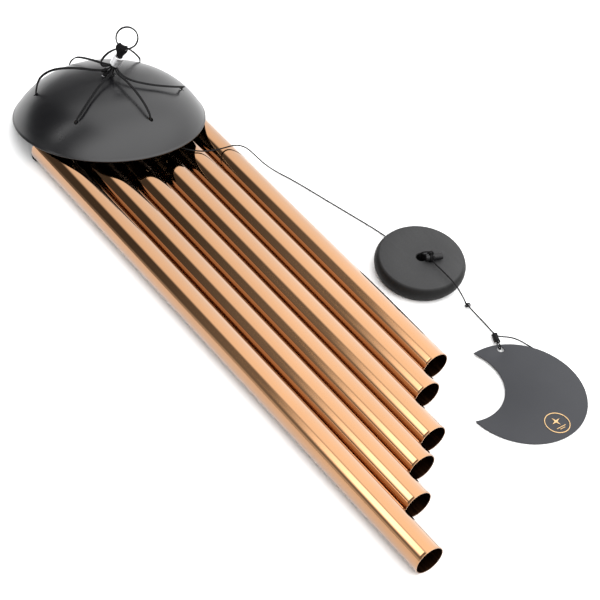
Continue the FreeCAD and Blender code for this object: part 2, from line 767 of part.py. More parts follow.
# ----------------------------------------------------- striker and sail cords
# From the sleeve, under the dome, over two tubes, along the surface and up
# through the striker's hole to the toggle.
STRIKER_ROUTE = [
    (-40.6, 219.8, 45.6), (-37.6, 210.0, 36.0), (-33.6, 196.0, 30.6), (-30.0, 180.0, 29.0),
    (-25.4, 164.0, 28.8),
    (-18.6, 148.4, 28.8), (-9.0, 138.6, 28.8), (2.6, 132.6, 28.8), (15.0, 130.6, 28.8), (26.0, 128.6, 28.2),
    (35.6, 126.6, 22.4), (43.6, 124.4, 13.6), (50.4, 117.6, 5.4), (56.4, 108.4, 1.2), (63.6, 91.0, 1.0),
    (74.0, 54.0, 1.0), (88.0, 6.0, 1.0), (90.8, -10.0, 1.2), (90.6, -26.0, 1.4), (88.6, -38.0, 1.4),
    (87.2, -46.6, 1.8),
]
hitch_middle = toggle_start + toggle_axis * (HITCH_ALONG + 0.55)
hitch_side = toggle_axis.cross(striker_axis)
striker_route = [strand_start(CORD_PITCH, 300), strand_start(CORD_PITCH, 300, FAN_DEPTH)]
striker_route += [Vector(*point) for point in STRIKER_ROUTE]
striker_route += [on_striker(-0.4, 1.2, -14.6), on_striker(-0.6, 1.2, 1.4), on_striker(0.8, 1.0, 5.2)]
striker_route += [hitch_middle + striker_axis * 3.4 - hitch_side * 2.8]
make_cord("striker_cord", [striker_route])

# From the hitch over the striker's edge to the knot halfway, then to the sail's knot.
sail_route = [
    hitch_middle + hitch_side * 3.6 + striker_axis * 0.6,
    on_striker(3.2, -13.0, 2.6), on_striker(3.6, -20.0, 3.0),
    on_striker(3.4, -29.0, 3.4), on_striker(3.8, -37.6, 2.8),
    Vector(92.4, -95.6, 11.0), Vector(95.6, -98.6, 4.8),
    mid_knot - line_heading * (MID_KNOT_LENGTH / 2 - 0.4),
]
make_cord("sail_cord", [sail_route])
lower_route = [
    mid_knot + line_heading * (MID_KNOT_LENGTH / 2 - 0.4),
    Vector(97.0, -113.0, 1.0), Vector(96.4, -125.0, 1.0), Vector(95.4, -134.0, 1.3),
    knot_top + knot_heading * 0.6,
]
make_cord("sail_cord_lower", [lower_route])
make_cord("sail_loop", [[
    sail_point(55.6, 1.9), sail_point(51.8, 3.0), sail_point(48.4, 2.6), sail_point(48.4, -0.7),
    sail_point(52.2, -0.95), sail_point(55.4, -0.3),
]])
make_cord("sail_cord_tail", [[
    knot_top + knot_heading * 2.6 + Vector(0.8, 0.3, 0.6),
    Vector(100.4, -145.4, 2.8), Vector(105.6, -152.6, 1.8), Vector(110.0, -160.6, 0.8),
    Vector(112.8, -167.4, 0.66), Vector(113.4, -173.6, 0.66),
]])

# ------------------------------------------------------------------- export
doc.recompute()
for feature in doc.Objects:
    if "Invalid" in feature.State or "Error" in feature.State:
        raise RuntimeError(f"{feature.Label} failed: {feature.State}")
os.makedirs("parts", exist_ok=True)
for feature in nodes:
    shape = feature.Shape
    if shape.isNull() or not shape.isValid() or not shape.Solids:
        raise RuntimeError(f"{feature.Label} has no valid solid")
    shape.exportStep(os.path.join("parts", f"{feature.Label}.step"))
    box = shape.BoundBox
    print(
        f"{feature.Label}: {len(shape.Solids)} solid, volume {shape.Volume:.0f},",
        f"x {box.XMin:.1f}..{box.XMax:.1f} y {box.YMin:.1f}..{box.YMax:.1f} z {box.ZMin:.1f}..{box.ZMax:.1f}",
    )
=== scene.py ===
import math

import bmesh
import bpy
from mathutils import Matrix, Vector

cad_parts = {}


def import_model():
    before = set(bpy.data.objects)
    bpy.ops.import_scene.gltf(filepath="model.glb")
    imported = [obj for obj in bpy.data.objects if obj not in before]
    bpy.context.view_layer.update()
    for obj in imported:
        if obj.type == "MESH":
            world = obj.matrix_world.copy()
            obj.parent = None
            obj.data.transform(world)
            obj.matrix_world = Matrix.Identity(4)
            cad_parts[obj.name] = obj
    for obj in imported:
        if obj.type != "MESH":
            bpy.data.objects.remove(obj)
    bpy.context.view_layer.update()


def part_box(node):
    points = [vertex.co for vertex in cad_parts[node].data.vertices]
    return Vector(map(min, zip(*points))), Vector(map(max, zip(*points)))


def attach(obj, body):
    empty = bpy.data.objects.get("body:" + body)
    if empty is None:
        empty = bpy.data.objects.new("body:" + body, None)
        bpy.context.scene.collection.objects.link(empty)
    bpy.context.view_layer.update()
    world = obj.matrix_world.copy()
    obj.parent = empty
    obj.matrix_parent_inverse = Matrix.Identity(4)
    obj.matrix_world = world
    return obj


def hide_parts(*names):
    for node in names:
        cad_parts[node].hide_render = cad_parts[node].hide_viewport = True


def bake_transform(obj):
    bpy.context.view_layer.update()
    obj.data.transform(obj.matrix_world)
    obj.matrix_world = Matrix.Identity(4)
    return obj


# A six-tube wind chime laid out on a pale floor.  Blender works in metres; the
# sizes and routes below are in millimetres and are scaled by MM.
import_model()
MM = 0.001
Z = Vector((0, 0, 1))


def mm(*values):
    """A vector given in millimetres, in metres."""
    return Vector(values) * MM


# ---------------------------------------------------------------- camera
CAMERA_AT = mm(-857.0, -873.3, 1111.6)
CAMERA_RIGHT = Vector((0.789, -0.5983, 0.1399))
CAMERA_UP = Vector((0.3363, 0.6111, 0.7166))


def make_camera():
    """Camera at the photograph's viewing angle."""
    data = bpy.data.cameras.new("camera")
    data.sensor_width = 36.0
    data.lens = 120.9
    data.clip_start = 0.05
    camera = bpy.data.objects.new("camera", data)
    bpy.context.scene.collection.objects.link(camera)
    right = CAMERA_RIGHT.normalized()
    up = (CAMERA_UP - right * CAMERA_UP.dot(right)).normalized()
    back = right.cross(up)
    turn = Matrix((right, up, back)).transposed().to_4x4()
    camera.matrix_world = Matrix.Translation(CAMERA_AT) @ turn
    bpy.context.scene.camera = camera


make_camera()


# ------------------------------------------------------------- materials
class Nodes:
    """Small helper round one material's node tree."""

    def __init__(self, name):
        self.material = bpy.data.materials.new(name)
        self.material.use_nodes = True
        self.tree = self.material.node_tree
        self.shader = self.tree.nodes["Principled BSDF"]
        self.place = self.add("ShaderNodeTexCoord").outputs["Object"]

    def add(self, kind, **settings):
        made = self.tree.nodes.new(kind)
        for key, value in settings.items():
            setattr(made, key, value)
        return made

    def link(self, start, end):
        self.tree.links.new(start, end)

    def stretched(self, scale):
        mapping = self.add("ShaderNodeMapping")
        mapping.inputs["Scale"].default_value = scale
        self.link(self.place, mapping.inputs["Vector"])
        return mapping.outputs["Vector"]

    def noise(self, scale, detail=4.0, roughness=0.6, vector=None):
        made = self.add("ShaderNodeTexNoise")
        made.inputs["Scale"].default_value = scale
        made.inputs["Detail"].default_value = detail
        made.inputs["Roughness"].default_value = roughness
        self.link(vector or self.place, made.inputs["Vector"])
        return made.outputs["Fac"]

    def spread(self, value, low, high, out_low, out_high):
        made = self.add("ShaderNodeMapRange")
        made.inputs["From Min"].default_value = low
        made.inputs["From Max"].default_value = high
        made.inputs["To Min"].default_value = out_low
        made.inputs["To Max"].default_value = out_high
        self.link(value, made.inputs["Value"])
        return made.outputs["Result"]

    def colours(self, value, stops):
        ramp = self.add("ShaderNodeValToRGB")
        while len(ramp.color_ramp.elements) < len(stops):
            ramp.color_ramp.elements.new(0.5)
        for element, (place, colour) in zip(ramp.color_ramp.elements, stops):
            element.position = place
            element.color = (*colour, 1.0)
        self.link(value, ramp.inputs["Fac"])
        return ramp.outputs["Color"]

    def bump(self, height, strength, distance):
        made = self.add("ShaderNodeBump")
        made.inputs["Strength"].default_value = strength
        made.inputs["Distance"].default_value = distance
        self.link(height, made.inputs["Height"])
        return made.outputs["Normal"]

    def set(self, **values):
        for key, value in values.items():
            self.shader.inputs[key.replace("_", " ")].default_value = value

    def paint(self, value, stops):
        """Base colour from a ramp over a value."""
        self.link(self.colours(value, stops), self.shader.inputs["Base Color"])

    def roughen(self, value, low, high):
        """Roughness between two levels, following a noise value."""
        self.link(self.spread(value, 0.3, 0.7, low, high), self.shader.inputs["Roughness"])

    def relief(self, height, strength, distance):
        """Fine bump on the shader's normal; the distance is in metres."""
        self.link(self.bump(height, strength, distance), self.shader.inputs["Normal"])


def copper():
    """Polished copper-coloured metal under a clear coat, with faint lengthwise marks."""
    n = Nodes("tube_copper")
    n.set(Metallic=1.0, Coat_Weight=1.0, Coat_Roughness=0.05, Coat_IOR=1.65)
    marks = n.noise(900.0, 3.0, 0.5, n.stretched((1.0, 0.02, 1.0)))
    cloud = n.noise(14.0, 3.0, 0.5)
    metal = n.colours(cloud, [(0.3, (0.328, 0.150, 0.045)), (0.7, (0.352, 0.163, 0.051))])
    edge = n.add("ShaderNodeLayerWeight")
    edge.inputs["Blend"].default_value = 0.5
    pale = n.add("ShaderNodeMix", data_type="RGBA")
    n.link(n.spread(edge.outputs["Facing"], 0.2, 0.6, 0.0, 0.07), pale.inputs["Factor"])
    n.link(metal, pale.inputs["A"])
    pale.inputs["B"].default_value = (0.97, 0.92, 0.89, 1.0)
    n.link(pale.outputs["Result"], n.shader.inputs["Base Color"])
    n.roughen(marks, 0.04, 0.09)
    n.relief(marks, 0.02, 0.00004)
    return n.material


def copper_inside_painted_shade():
    """Unpolished inner wall, rougher, with its colour painted near black as shade inside the tube."""
    n = Nodes("tube_inside_painted_shade")
    n.set(Metallic=1.0, Specular_Tint=(1.0, 0.9, 0.85, 1.0))
    marks = n.noise(500.0, 4.0, 0.6, n.stretched((1.0, 0.05, 1.0)))
    # Painted shade: the inner wall's colour is kept near black for the shade inside the tube.
    n.paint(marks, [(0.3, (0.016, 0.006, 0.003)), (0.7, (0.035, 0.015, 0.007))])
    n.roughen(marks, 0.35, 0.55)
    return n.material


def satin_black():
    """Black satin coat with a fine orange-peel surface."""
    n = Nodes("dome_satin")
    n.set(Metallic=0.0, IOR=1.5, Specular_IOR_Level=0.46)
    peel = n.noise(2600.0, 2.0, 0.5)
    cloud = n.noise(22.0, 4.0, 0.6)
    n.paint(cloud, [(0.3, (0.0012, 0.0012, 0.0020)), (0.7, (0.0020, 0.0020, 0.0028))])
    n.roughen(cloud, 0.27, 0.32)
    n.relief(peel, 0.12, 0.00005)
    return n.material


def braid_black():
    """Black polyester braid: a soft sheen over a very dark yarn."""
    n = Nodes("cord_braid")
    n.set(Roughness=0.6, Specular_IOR_Level=0.14)
    yarn = n.noise(5200.0, 3.0, 0.6)
    n.paint(yarn, [(0.3, (0.0015, 0.0015, 0.0018)), (0.75, (0.005, 0.005, 0.0055))])
    n.relief(yarn, 0.35, 0.00006)
    return n.material


def ring_black():
    """Black-plated steel wire with worn, slightly brighter spots."""
    n = Nodes("ring_plating")
    n.set(Metallic=1.0)
    wear = n.noise(700.0, 5.0, 0.65)
    n.paint(wear, [(0.35, (0.008, 0.008, 0.0085)), (0.75, (0.022, 0.022, 0.023))])
    n.roughen(wear, 0.22, 0.4)
    n.relief(wear, 0.1, 0.00004)
    return n.material


def bright_aluminium():
    """Bright soft aluminium with tool scuffs."""
    n = Nodes("sleeve_metal")
    n.set(Metallic=1.0)
    scuff = n.noise(1500.0, 5.0, 0.7)
    n.paint(scuff, [(0.3, (0.66, 0.66, 0.67)), (0.7, (0.76, 0.76, 0.77))])
    n.roughen(scuff, 0.36, 0.5)
    n.relief(scuff, 0.15, 0.00005)
    return n.material


def stained_wood():
    """Black-stained wood: painted light makes the upward faces lighter and painted shade makes the side
    darker; the grain is just in relief.
    """
    n = Nodes("striker_stain")
    grain = n.noise(260.0, 6.0, 0.65, n.stretched((1.0, 0.12, 1.0)))
    speck = n.noise(3200.0, 2.0, 0.6)
    n.set(IOR=1.45, Specular_IOR_Level=0.22)
    # Painted light and shade: faces turned up are painted lighter and the side darker, for how the light
    # falls on them.
    facing = n.add("ShaderNodeSeparateXYZ")
    n.link(n.add("ShaderNodeTexCoord").outputs["Normal"], facing.inputs[0])
    painted_light_mix = n.add("ShaderNodeMix", data_type="RGBA")
    n.link(n.spread(facing.outputs["Z"], 0.55, 0.95, 0.0, 1.0), painted_light_mix.inputs["Factor"])
    # Colour of the side: painted shade.
    side = n.colours(speck, [(0.35, (0.0018, 0.0018, 0.0018)), (0.7, (0.0050, 0.0050, 0.0050))])
    n.link(side, painted_light_mix.inputs["A"])
    # Colour of the upward faces: painted light.
    top = n.colours(speck, [(0.35, (0.0220, 0.0220, 0.0226)), (0.7, (0.0400, 0.0400, 0.0408))])
    n.link(top, painted_light_mix.inputs["B"])
    n.link(painted_light_mix.outputs["Result"], n.shader.inputs["Base Color"])
    n.roughen(grain, 0.5, 0.66)
    mix = n.add("ShaderNodeMath", operation="MULTIPLY_ADD")
    mix.inputs[1].default_value = 0.5
    n.link(grain, mix.inputs[0])
    n.link(speck, mix.inputs[2])
    n.relief(mix.outputs["Value"], 0.22, 0.00012)
    return n.material


def glossy_black():
    """Moulded glossy black plastic."""
    n = Nodes("toggle_gloss")
    n.set(Base_Color=(0.006, 0.006, 0.0065, 1.0), IOR=1.5, Specular_IOR_Level=0.25)
    ripple = n.noise(420.0, 2.0, 0.5)
    n.roughen(ripple, 0.12, 0.24)
    n.relief(ripple, 0.08, 0.00008)
    return n.material


def matt_grey():
    """Matt dark grey coat on sheet metal, with a fine powder texture."""
    n = Nodes("sail_coat")
    n.set(Specular_IOR_Level=0.25)
    powder = n.noise(3000.0, 3.0, 0.6)
    cloud = n.noise(18.0, 3.0, 0.5)
    n.paint(cloud, [(0.3, (0.0255, 0.0265, 0.0305)), (0.7, (0.0300, 0.0310, 0.0350))])
    n.roughen(powder, 0.55, 0.7)
    n.relief(powder, 0.12, 0.00006)
    return n.material


def gold_foil():
    """Thin polished gold-coloured metal."""
    n = Nodes("badge_foil")
    n.set(Metallic=1.0)
    rub = n.noise(1100.0, 4.0, 0.6)
    n.paint(rub, [(0.3, (0.46, 0.30, 0.145)), (0.7, (0.54, 0.37, 0.20))])
    n.roughen(rub, 0.2, 0.34)
    return n.material


COPPER = copper()
PAINTED_SHADE_INSIDE = copper_inside_painted_shade()
SATIN = satin_black()
BRAID = braid_black()
PLATING = ring_black()
ALUMINIUM = bright_aluminium()
STAIN = stained_wood()
GLOSS = glossy_black()
COAT = matt_grey()
FOIL = gold_foil()


# ---------------------------------------------------------------- helpers
def add_piece(name, mesh, materials, body, slot, *nodes, sharp=35.0):
    """Put a finished mesh in the scene, on its body and over its CAD nodes."""
    for polygon in mesh.polygons:
        polygon.use_smooth = True
    mesh.set_sharp_from_angle(angle=math.radians(sharp))
    for material in materials:
        mesh.materials.append(material)
    piece = bpy.data.objects.new(name, mesh)
    bpy.context.scene.collection.objects.link(piece)
    if body:
        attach(piece, body)
    if nodes:
        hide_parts(*nodes)
    return piece


def mesh_of(name, points, faces):
    """A mesh from points in metres and faces."""
    mesh = bpy.data.meshes.new(name)
    mesh.from_pydata([tuple(point) for point in points], [], faces)
    return mesh


def lathe(name, profile, segments, closed=True):
    """Spin (radius, height) points round the local Z axis."""
    points = []
    faces = []
    count = len(profile)
    for step in range(segments):
        turn = math.tau * step / segments
        for radius, height in profile:
            points.append((radius * math.cos(turn), radius * math.sin(turn), height))
    spans = count if closed else count - 1
    for step in range(segments):
        ahead = (step + 1) % segments
        for index in range(spans):
            other = (index + 1) % count
            faces.append((
                step * count + index, ahead * count + index, ahead * count + other, step * count + other
            ))
    return mesh_of(name, points, faces)


def arc(centre_x, centre_y, radius, start, end, steps):
    """Points on an arc, angles in degrees."""
    result = []
    for step in range(steps + 1):
        turn = math.radians(start + (end - start) * step / steps)
        result.append((centre_x + radius * math.cos(turn), centre_y + radius * math.sin(turn)))
    return result


def placed(mesh, origin, axis, spin=0.0):
    """Move a mesh made round local Z so that Z follows an axis from an origin."""
    turn = Z.rotation_difference(axis.normalized()).to_matrix().to_4x4()
    mesh.transform(Matrix.Translation(origin) @ turn @ Matrix.Rotation(spin, 4, "Z"))
    return mesh


def drill(mesh, cutters):
    """Cut round holes, each (start, end, radius), through a mesh."""
    base = bpy.data.objects.new("drill_base", mesh)
    bpy.context.scene.collection.objects.link(base)
    tools = []
    for start, end, radius in cutters:
        length = (end - start).length
        pin = lathe("pin", [(radius, 0.0), (radius, length)], 40, closed=False)
        form = bmesh.new()
        form.from_mesh(pin)
        bmesh.ops.holes_fill(form, edges=[edge for edge in form.edges if edge.is_boundary])
        bmesh.ops.recalc_face_normals(form, faces=form.faces)
        form.to_mesh(pin)
        form.free()
        placed(pin, start, end - start)
        tool = bpy.data.objects.new("drill_pin", pin)
        bpy.context.scene.collection.objects.link(tool)
        tools.append(tool)
        modifier = base.modifiers.new("drill", "BOOLEAN")
        modifier.operation = "DIFFERENCE"
        modifier.solver = "EXACT"
        modifier.object = tool
    graph = bpy.context.evaluated_depsgraph_get()
    result = bpy.data.meshes.new_from_object(base.evaluated_get(graph))
    result.materials.clear()
    for item in tools + [base]:
        bpy.data.objects.remove(item)
    return result


# ------------------------------------------------------------------ cords
CORD = 1.2 * MM
STRANDS = 4


def route_line(points, resolution=10):
    """Smooth line through a route: its points control one NURBS spline."""
    data = bpy.data.curves.new("route", "CURVE")
    data.dimensions = "3D"
    spline = data.splines.new("NURBS")
    spline.points.add(len(points) - 1)
    for control, point in zip(spline.points, points):
        control.co = (*point, 1.0)
    spline.order_u = 3
    spline.use_endpoint_u = True
    spline.resolution_u = resolution
    holder = bpy.data.objects.new("route", data)
    bpy.context.scene.collection.objects.link(holder)
    graph = bpy.context.evaluated_depsgraph_get()
    mesh = bpy.data.meshes.new_from_object(holder.evaluated_get(graph))
    line = [vertex.co.copy() for vertex in mesh.vertices]
    bpy.data.objects.remove(holder)
    bpy.data.meshes.remove(mesh)
    return line


def even_line(line, spacing):
    """The same line with evenly spaced points."""
    result = [line[0]]
    left = spacing
    for start, end in zip(line, line[1:]):
        span = (end - start).length
        if span == 0.0:
            continue
        while left <= span:
            result.append(start.lerp(end, left / span))
            left += spacing
        left -= span
    if (result[-1] - line[-1]).length < spacing * 0.5:
        result.pop()
    result.append(line[-1])
    return result


def tube_mesh(name, line, radius_at, segments=12, closed=False):
    """Sweep a round section along a line; radius_at(length, turn) shapes it."""
    count = len(line)
    tangents = []
    for index in range(count):
        before = line[index - 1] if index or closed else line[0]
        after = line[(index + 1) % count] if index < count - 1 or closed else line[-1]
        tangents.append((after - before).normalized())
    side = tangents[0].orthogonal().normalized()
    points = []
    faces = []
    run = 0.0
    for index in range(count):
        if index:
            run += (line[index] - line[index - 1]).length
            side = tangents[index - 1].rotation_difference(tangents[index]) @ side
            side = (side - tangents[index] * side.dot(tangents[index])).normalized()
        other = tangents[index].cross(side)
        for step in range(segments):
            turn = math.tau * step / segments
            radius = radius_at(run, turn)
            points.append(line[index] + (side * math.cos(turn) + other * math.sin(turn)) * radius)
    spans = count if closed else count - 1
    for index in range(spans):
        ahead = (index + 1) % count
        for step in range(segments):
            beside = (step + 1) % segments
            faces.append((
                index * segments + step,
                index * segments + beside,
                ahead * segments + beside,
                ahead * segments + step,
            ))
    if not closed:
        faces.append(tuple(reversed(range(segments))))
        faces.append(tuple(range((count - 1) * segments, count * segments)))
    return mesh_of(name, points, faces)


def braid_radius(run, turn):
    """Radius of a small round braid: two families of strands crossing."""
    lay = run / CORD * 2.4
    weave = math.cos(STRANDS * turn + lay) * math.cos(STRANDS * turn - lay)
    return CORD / 2 * (0.96 + 0.05 * weave)


def braided(name, line, body, *nodes):
    """A braided cord along a line."""
    fine = even_line(line, 0.32 * MM)
    mesh = tube_mesh(name, fine, braid_radius, 16)
    return add_piece(name, mesh, [BRAID], body, "cord_black", *nodes, sharp=80.0)


def knot_piece(name, lines, body, *nodes):
    """Several cord runs, in metres, joined in one braided piece."""
    merged = bmesh.new()
    for line in lines:
        merged.from_mesh(tube_mesh("turn", even_line(line, 0.3 * MM), braid_radius, 16))
    mesh = bpy.data.meshes.new(name)
    merged.to_mesh(mesh)
    merged.free()
    return add_piece(name, mesh, [BRAID], body, "cord_black", *nodes, sharp=80.0)


def free_cord(name, route, body, nodes):
    """A braided cord along a smooth line through its route's points."""
    line = route_line(route)
    piece = braided(name, line, body, *nodes)
    return piece


# The dome's own frame: rim plane tilted 12.7 degrees, leaning towards 80.4 degrees.
DOME_DIAMETER = 165.2
DOME_HEIGHT = 40.1
DOME_WALL = 1.2
CROWN = 150.0
KNUCKLE = 70.0
HOLE_CIRCLE = 62.0
FIRST_HOLE = -29.5
DOME_TILT = math.radians(12.7)
DOME_LEAN = math.radians(80.4)
dome_turn = Matrix.Rotation(DOME_TILT, 3, Vector((-math.sin(DOME_LEAN), math.cos(DOME_LEAN), 0)))
dome_at = Vector((-42.7, 218.5, DOME_DIAMETER / 2 * math.sin(DOME_TILT)))


def dome_centres():
    """Heights and radii of the two arcs that make the dome's section."""
    rim = DOME_DIAMETER / 2
    crown_z = DOME_HEIGHT - CROWN
    to_rim = math.hypot(rim, crown_z)
    gap = CROWN - KNUCKLE
    along = (gap ** 2 - KNUCKLE ** 2 + to_rim ** 2) / (2 * to_rim)
    off = math.sqrt(gap ** 2 - along ** 2)
    across, up = rim / to_rim, -crown_z / to_rim
    return crown_z, along * across - off * up, crown_z + along * up + off * across


CROWN_Z, KNUCKLE_X, KNUCKLE_Z = dome_centres()


def dome_height_at(radius):
    """Height of the dome's outer face over its rim plane, at a radius."""
    if radius <= CROWN * KNUCKLE_X / (CROWN - KNUCKLE):
        return CROWN_Z + math.sqrt(CROWN ** 2 - radius ** 2)
    return KNUCKLE_Z + math.sqrt(KNUCKLE ** 2 - (radius - KNUCKLE_X) ** 2)


def hole_point(index, above):
    """Point on the axis of one of the dome's outer holes, in millimetres."""
    turn = math.radians(FIRST_HOLE - 60.0 * index)
    height = dome_height_at(HOLE_CIRCLE) + above
    return dome_at + dome_turn @ Vector((HOLE_CIRCLE * math.cos(turn), HOLE_CIRCLE * math.sin(turn), height))


SLEEVE_FOOT = Vector((-38.1, 224.0, 69.6))
SLEEVE_AXIS = Vector((0.213, -0.213, 0.954)).normalized()
SLEEVE_LENGTH = 9.8
SLEEVE_DIAMETER = 9.2
SLEEVE_BORE = 6.2
SLEEVE_TOP = SLEEVE_FOOT + SLEEVE_AXIS * SLEEVE_LENGTH
SLEEVE_EAST = (Vector((1, 0, 0)) - SLEEVE_AXIS * SLEEVE_AXIS.x).normalized()
SLEEVE_NORTH = SLEEVE_AXIS.cross(SLEEVE_EAST)
CORD_PITCH = 1.3
LEG_RING = CORD_PITCH * math.sqrt(3)
JOIN_DROP = -4.0
JOIN_RUN = 3.6
FAN_DEPTH = 17.6
STRAIGHT_OUT = 3.2
RETURN_TURN = 18


def strand_start(ring_radius, angle, depth=0.0):
    """Where one strand leaves the sleeve's foot, in millimetres."""
    turn = math.radians(angle)
    offset = SLEEVE_EAST * math.cos(turn) + SLEEVE_NORTH * math.sin(turn)
    return SLEEVE_FOOT + offset * ring_radius - SLEEVE_AXIS * depth


def scaled(points):
    """Points in millimetres as vectors in metres."""
    return [Vector(point) * MM for point in points]


# Each leg: angle at the sleeve, hole index, then the points between.
LEGS = {
    1: (-30, 0, [(-37.0, 214.5, 64.2), (-33.6, 206.6, 63.6), (-27.0, 199.8, 63.0), (-18.0, 194.2, 61.4),
                 (-6.0, 190.0, 58.6), (5.0, 188.4, 55.2), (11.6, 190.0, 52.0)]),
    2: (90, 5, [(-40.9, 229.2, 65.2), (-45.3, 230.4, 64.8), (-48.3, 230.5, 68.3), (-48.1, 230.6, 73.3),
                (-44.0, 231.4, 76.6), (-36.6, 233.6, 77.0), (-26.4, 237.7, 73.2), (-15.3, 243.3, 65.9),
                (-5.0, 248.1, 56.7), (3.3, 251.5, 47.0), (9.1, 253.2, 39.7)]),
    3: (-90, 1, [(-39.4, 217.6, 65.0), (-39.8, 210.6, 66.2), (-40.2, 200.0, 67.8), (-40.7, 187.0, 67.2),
                 (-40.8, 176.4, 65.0), (-41.0, 168.0, 61.6)]),
    4: (30, 4, [(-38.6, 230.4, 64.0), (-41.0, 238.6, 61.0), (-42.2, 248.6, 57.4), (-42.4, 259.6, 52.0),
                (-42.2, 270.0, 46.4), (-42.2, 278.6, 40.2)]),
    5: (150, 3, [(-44.6, 227.0, 62.6), (-51.4, 232.4, 61.2), (-60.0, 239.4, 61.2), (-70.0, 245.0, 61.6),
                 (-80.5, 250.0, 60.6), (-88.5, 253.2, 56.6), (-93.4, 255.0, 50.0)]),
    6: (-150, 2, [(-44.0, 219.6, 64.4), (-51.0, 215.8, 64.2), (-61.5, 210.8, 63.6), (-73.5, 203.6, 61.6),
                  (-84.5, 197.0, 58.6), (-91.6, 193.4, 55.2)]),
}


def make_legs():
    """Two strands of cord for each leg, side by side from the sleeve to one of the dome's holes."""
    for number, (angle, hole, middle) in LEGS.items():
        route = [strand_start(LEG_RING, angle), strand_start(LEG_RING, angle, STRAIGHT_OUT)]
        route += middle
        route += [hole_point(hole, 2.4), hole_point(hole, JOIN_DROP)]
        free_cord(f"leg_{number}", scaled(route), "chime_top", [f"leg_cord_{number}"])
        beside = []
        for index, point in enumerate(middle):
            near, far = route[index + 1], route[index + 3]
            side = (Vector(far) - Vector(near)).cross(Z).normalized()
            gap = 1.5 if number == 1 else 1.2
            beside.append(Vector(point) + side * gap + Z * 0.3)
        angle += RETURN_TURN
        route = [strand_start(LEG_RING, angle), strand_start(LEG_RING, angle, STRAIGHT_OUT)] + beside
        route += [
            hole_point(hole, 2.2) + Vector((-0.7, -0.5, 0)),
            hole_point(hole, JOIN_DROP) - Vector((0.5, 0.4, 0)),
        ]
        free_cord(f"leg_return_{number}", scaled(route), "chime_top", [])


make_legs()

# Under the dome: place in the strand cluster (None is its middle), points from
# the dome's hole to the tube, then points from under the tube up to the cluster.
HANGERS = {
    1: (
        0,
        [(14.0, 194.5, 35.5), (19.6, 198.6, 29.0), (25.6, 202.4, 26.2)],
        [(9.6, 214.0, 3.2), (6.0, 221.0, 7.6), (-2.6, 224.6, 17.0), (-13.6, 225.8, 28.4),
         (-26.6, 226.2, 40.4)],
    ),
    2: (
        60,
        [(11.0, 249.6, 25.6), (9.4, 236.0, 24.8), (8.0, 220.0, 27.4), (5.8, 209.0, 28.6)],
        [(-16.4, 215.0, 3.2), (-18.0, 222.4, 8.4), (-22.8, 227.4, 19.6), (-29.0, 228.8, 31.6),
         (-35.6, 228.6, 42.6)],
    ),
    3: (
        None,
        [(-40.0, 167.6, 42.6), (-36.6, 176.0, 38.6), (-30.8, 187.0, 35.0), (-24.4, 197.0, 30.4)],
        [(-42.6, 212.0, 3.2), (-43.6, 220.0, 8.0), (-44.0, 225.6, 18.6), (-43.8, 227.6, 30.6),
         (-43.2, 228.0, 42.6)],
    ),
    4: (
        120,
        [(-42.8, 277.0, 20.4), (-43.4, 262.0, 19.6), (-44.2, 244.0, 23.6), (-45.6, 226.0, 27.4),
         (-47.0, 214.0, 26.6)],
        [(-68.2, 219.0, 3.2), (-67.0, 226.0, 8.6), (-61.8, 230.6, 20.0), (-54.8, 231.6, 32.0),
         (-48.8, 230.6, 43.2)],
    ),
    5: (
        180,
        [(-95.0, 249.6, 27.0), (-91.6, 238.0, 25.2), (-84.6, 224.0, 27.0), (-76.6, 213.0, 27.6)],
        [(-94.0, 219.0, 3.2), (-91.0, 226.0, 8.2), (-82.4, 229.6, 18.4), (-71.0, 230.4, 29.4),
         (-58.0, 229.6, 41.0)],
    ),
    6: (
        240,
        [(-95.6, 195.6, 39.0), (-96.6, 199.6, 32.0), (-98.0, 204.0, 27.4)],
        [(-120.0, 217.6, 2.6), (-116.4, 223.4, 7.4), (-104.0, 225.0, 16.6), (-86.0, 224.8, 28.4),
         (-66.0, 225.0, 39.6)],
    ),
}
TUBE_RADIUS = 12.5
TUBE_WALL = 0.9
HOLE_DROP = 8.0
HOLE_ROLL = math.radians(45.0)
roll_out = Vector((math.cos(HOLE_ROLL), 0, math.sin(HOLE_ROLL)))


def tube_ends(number):
    """Axis points of a tube's lower and upper end, in millimetres, from its CAD box."""
    low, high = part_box(f"tube_{number}")
    x = (low[0] + high[0]) / 2 / MM
    return Vector((x, low[1] / MM, TUBE_RADIUS)), Vector((x, high[1] / MM, TUBE_RADIUS))


def make_hangers():
    """One cord for each tube: down from a hole, through the tube and back up to the middle."""
    for number, (place, down, up) in HANGERS.items():
        hole = LEGS[number][1]
        middle = tube_ends(number)[1] - Vector((0, HOLE_DROP, 0))
        route = [hole_point(hole, JOIN_DROP), hole_point(hole, JOIN_DROP - JOIN_RUN)] + down
        past_far_wall = 12.0 if number == 6 else 14.7
        route += [middle + roll_out * 17.0, middle - roll_out * past_far_wall] + up
        radius, angle = (0.0, 0) if place is None else (CORD_PITCH, place)
        route += [strand_start(radius, angle, FAN_DEPTH), strand_start(radius, angle)]
        nodes = [f"hanger_cord_{number}"]
        piece = free_cord(f"hanger_{number}", scaled(route), None, nodes)
        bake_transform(piece)


make_hangers()

RING_NORMAL = Vector((-0.514, -0.518, 0.683)).normalized()
RING_FOOT = Vector((-34.6, 221.0, 87.6))
ring_lean = Vector((0.646, 0.293, 0.706))
RING_UP = (ring_lean - RING_NORMAL * ring_lean.dot(RING_NORMAL)).normalized()
RING_SIDE = RING_NORMAL.cross(RING_UP)
RING_RADIUS = 9.2
RING_WIRE = 1.8
RING_CENTRE = RING_FOOT + RING_UP * RING_RADIUS


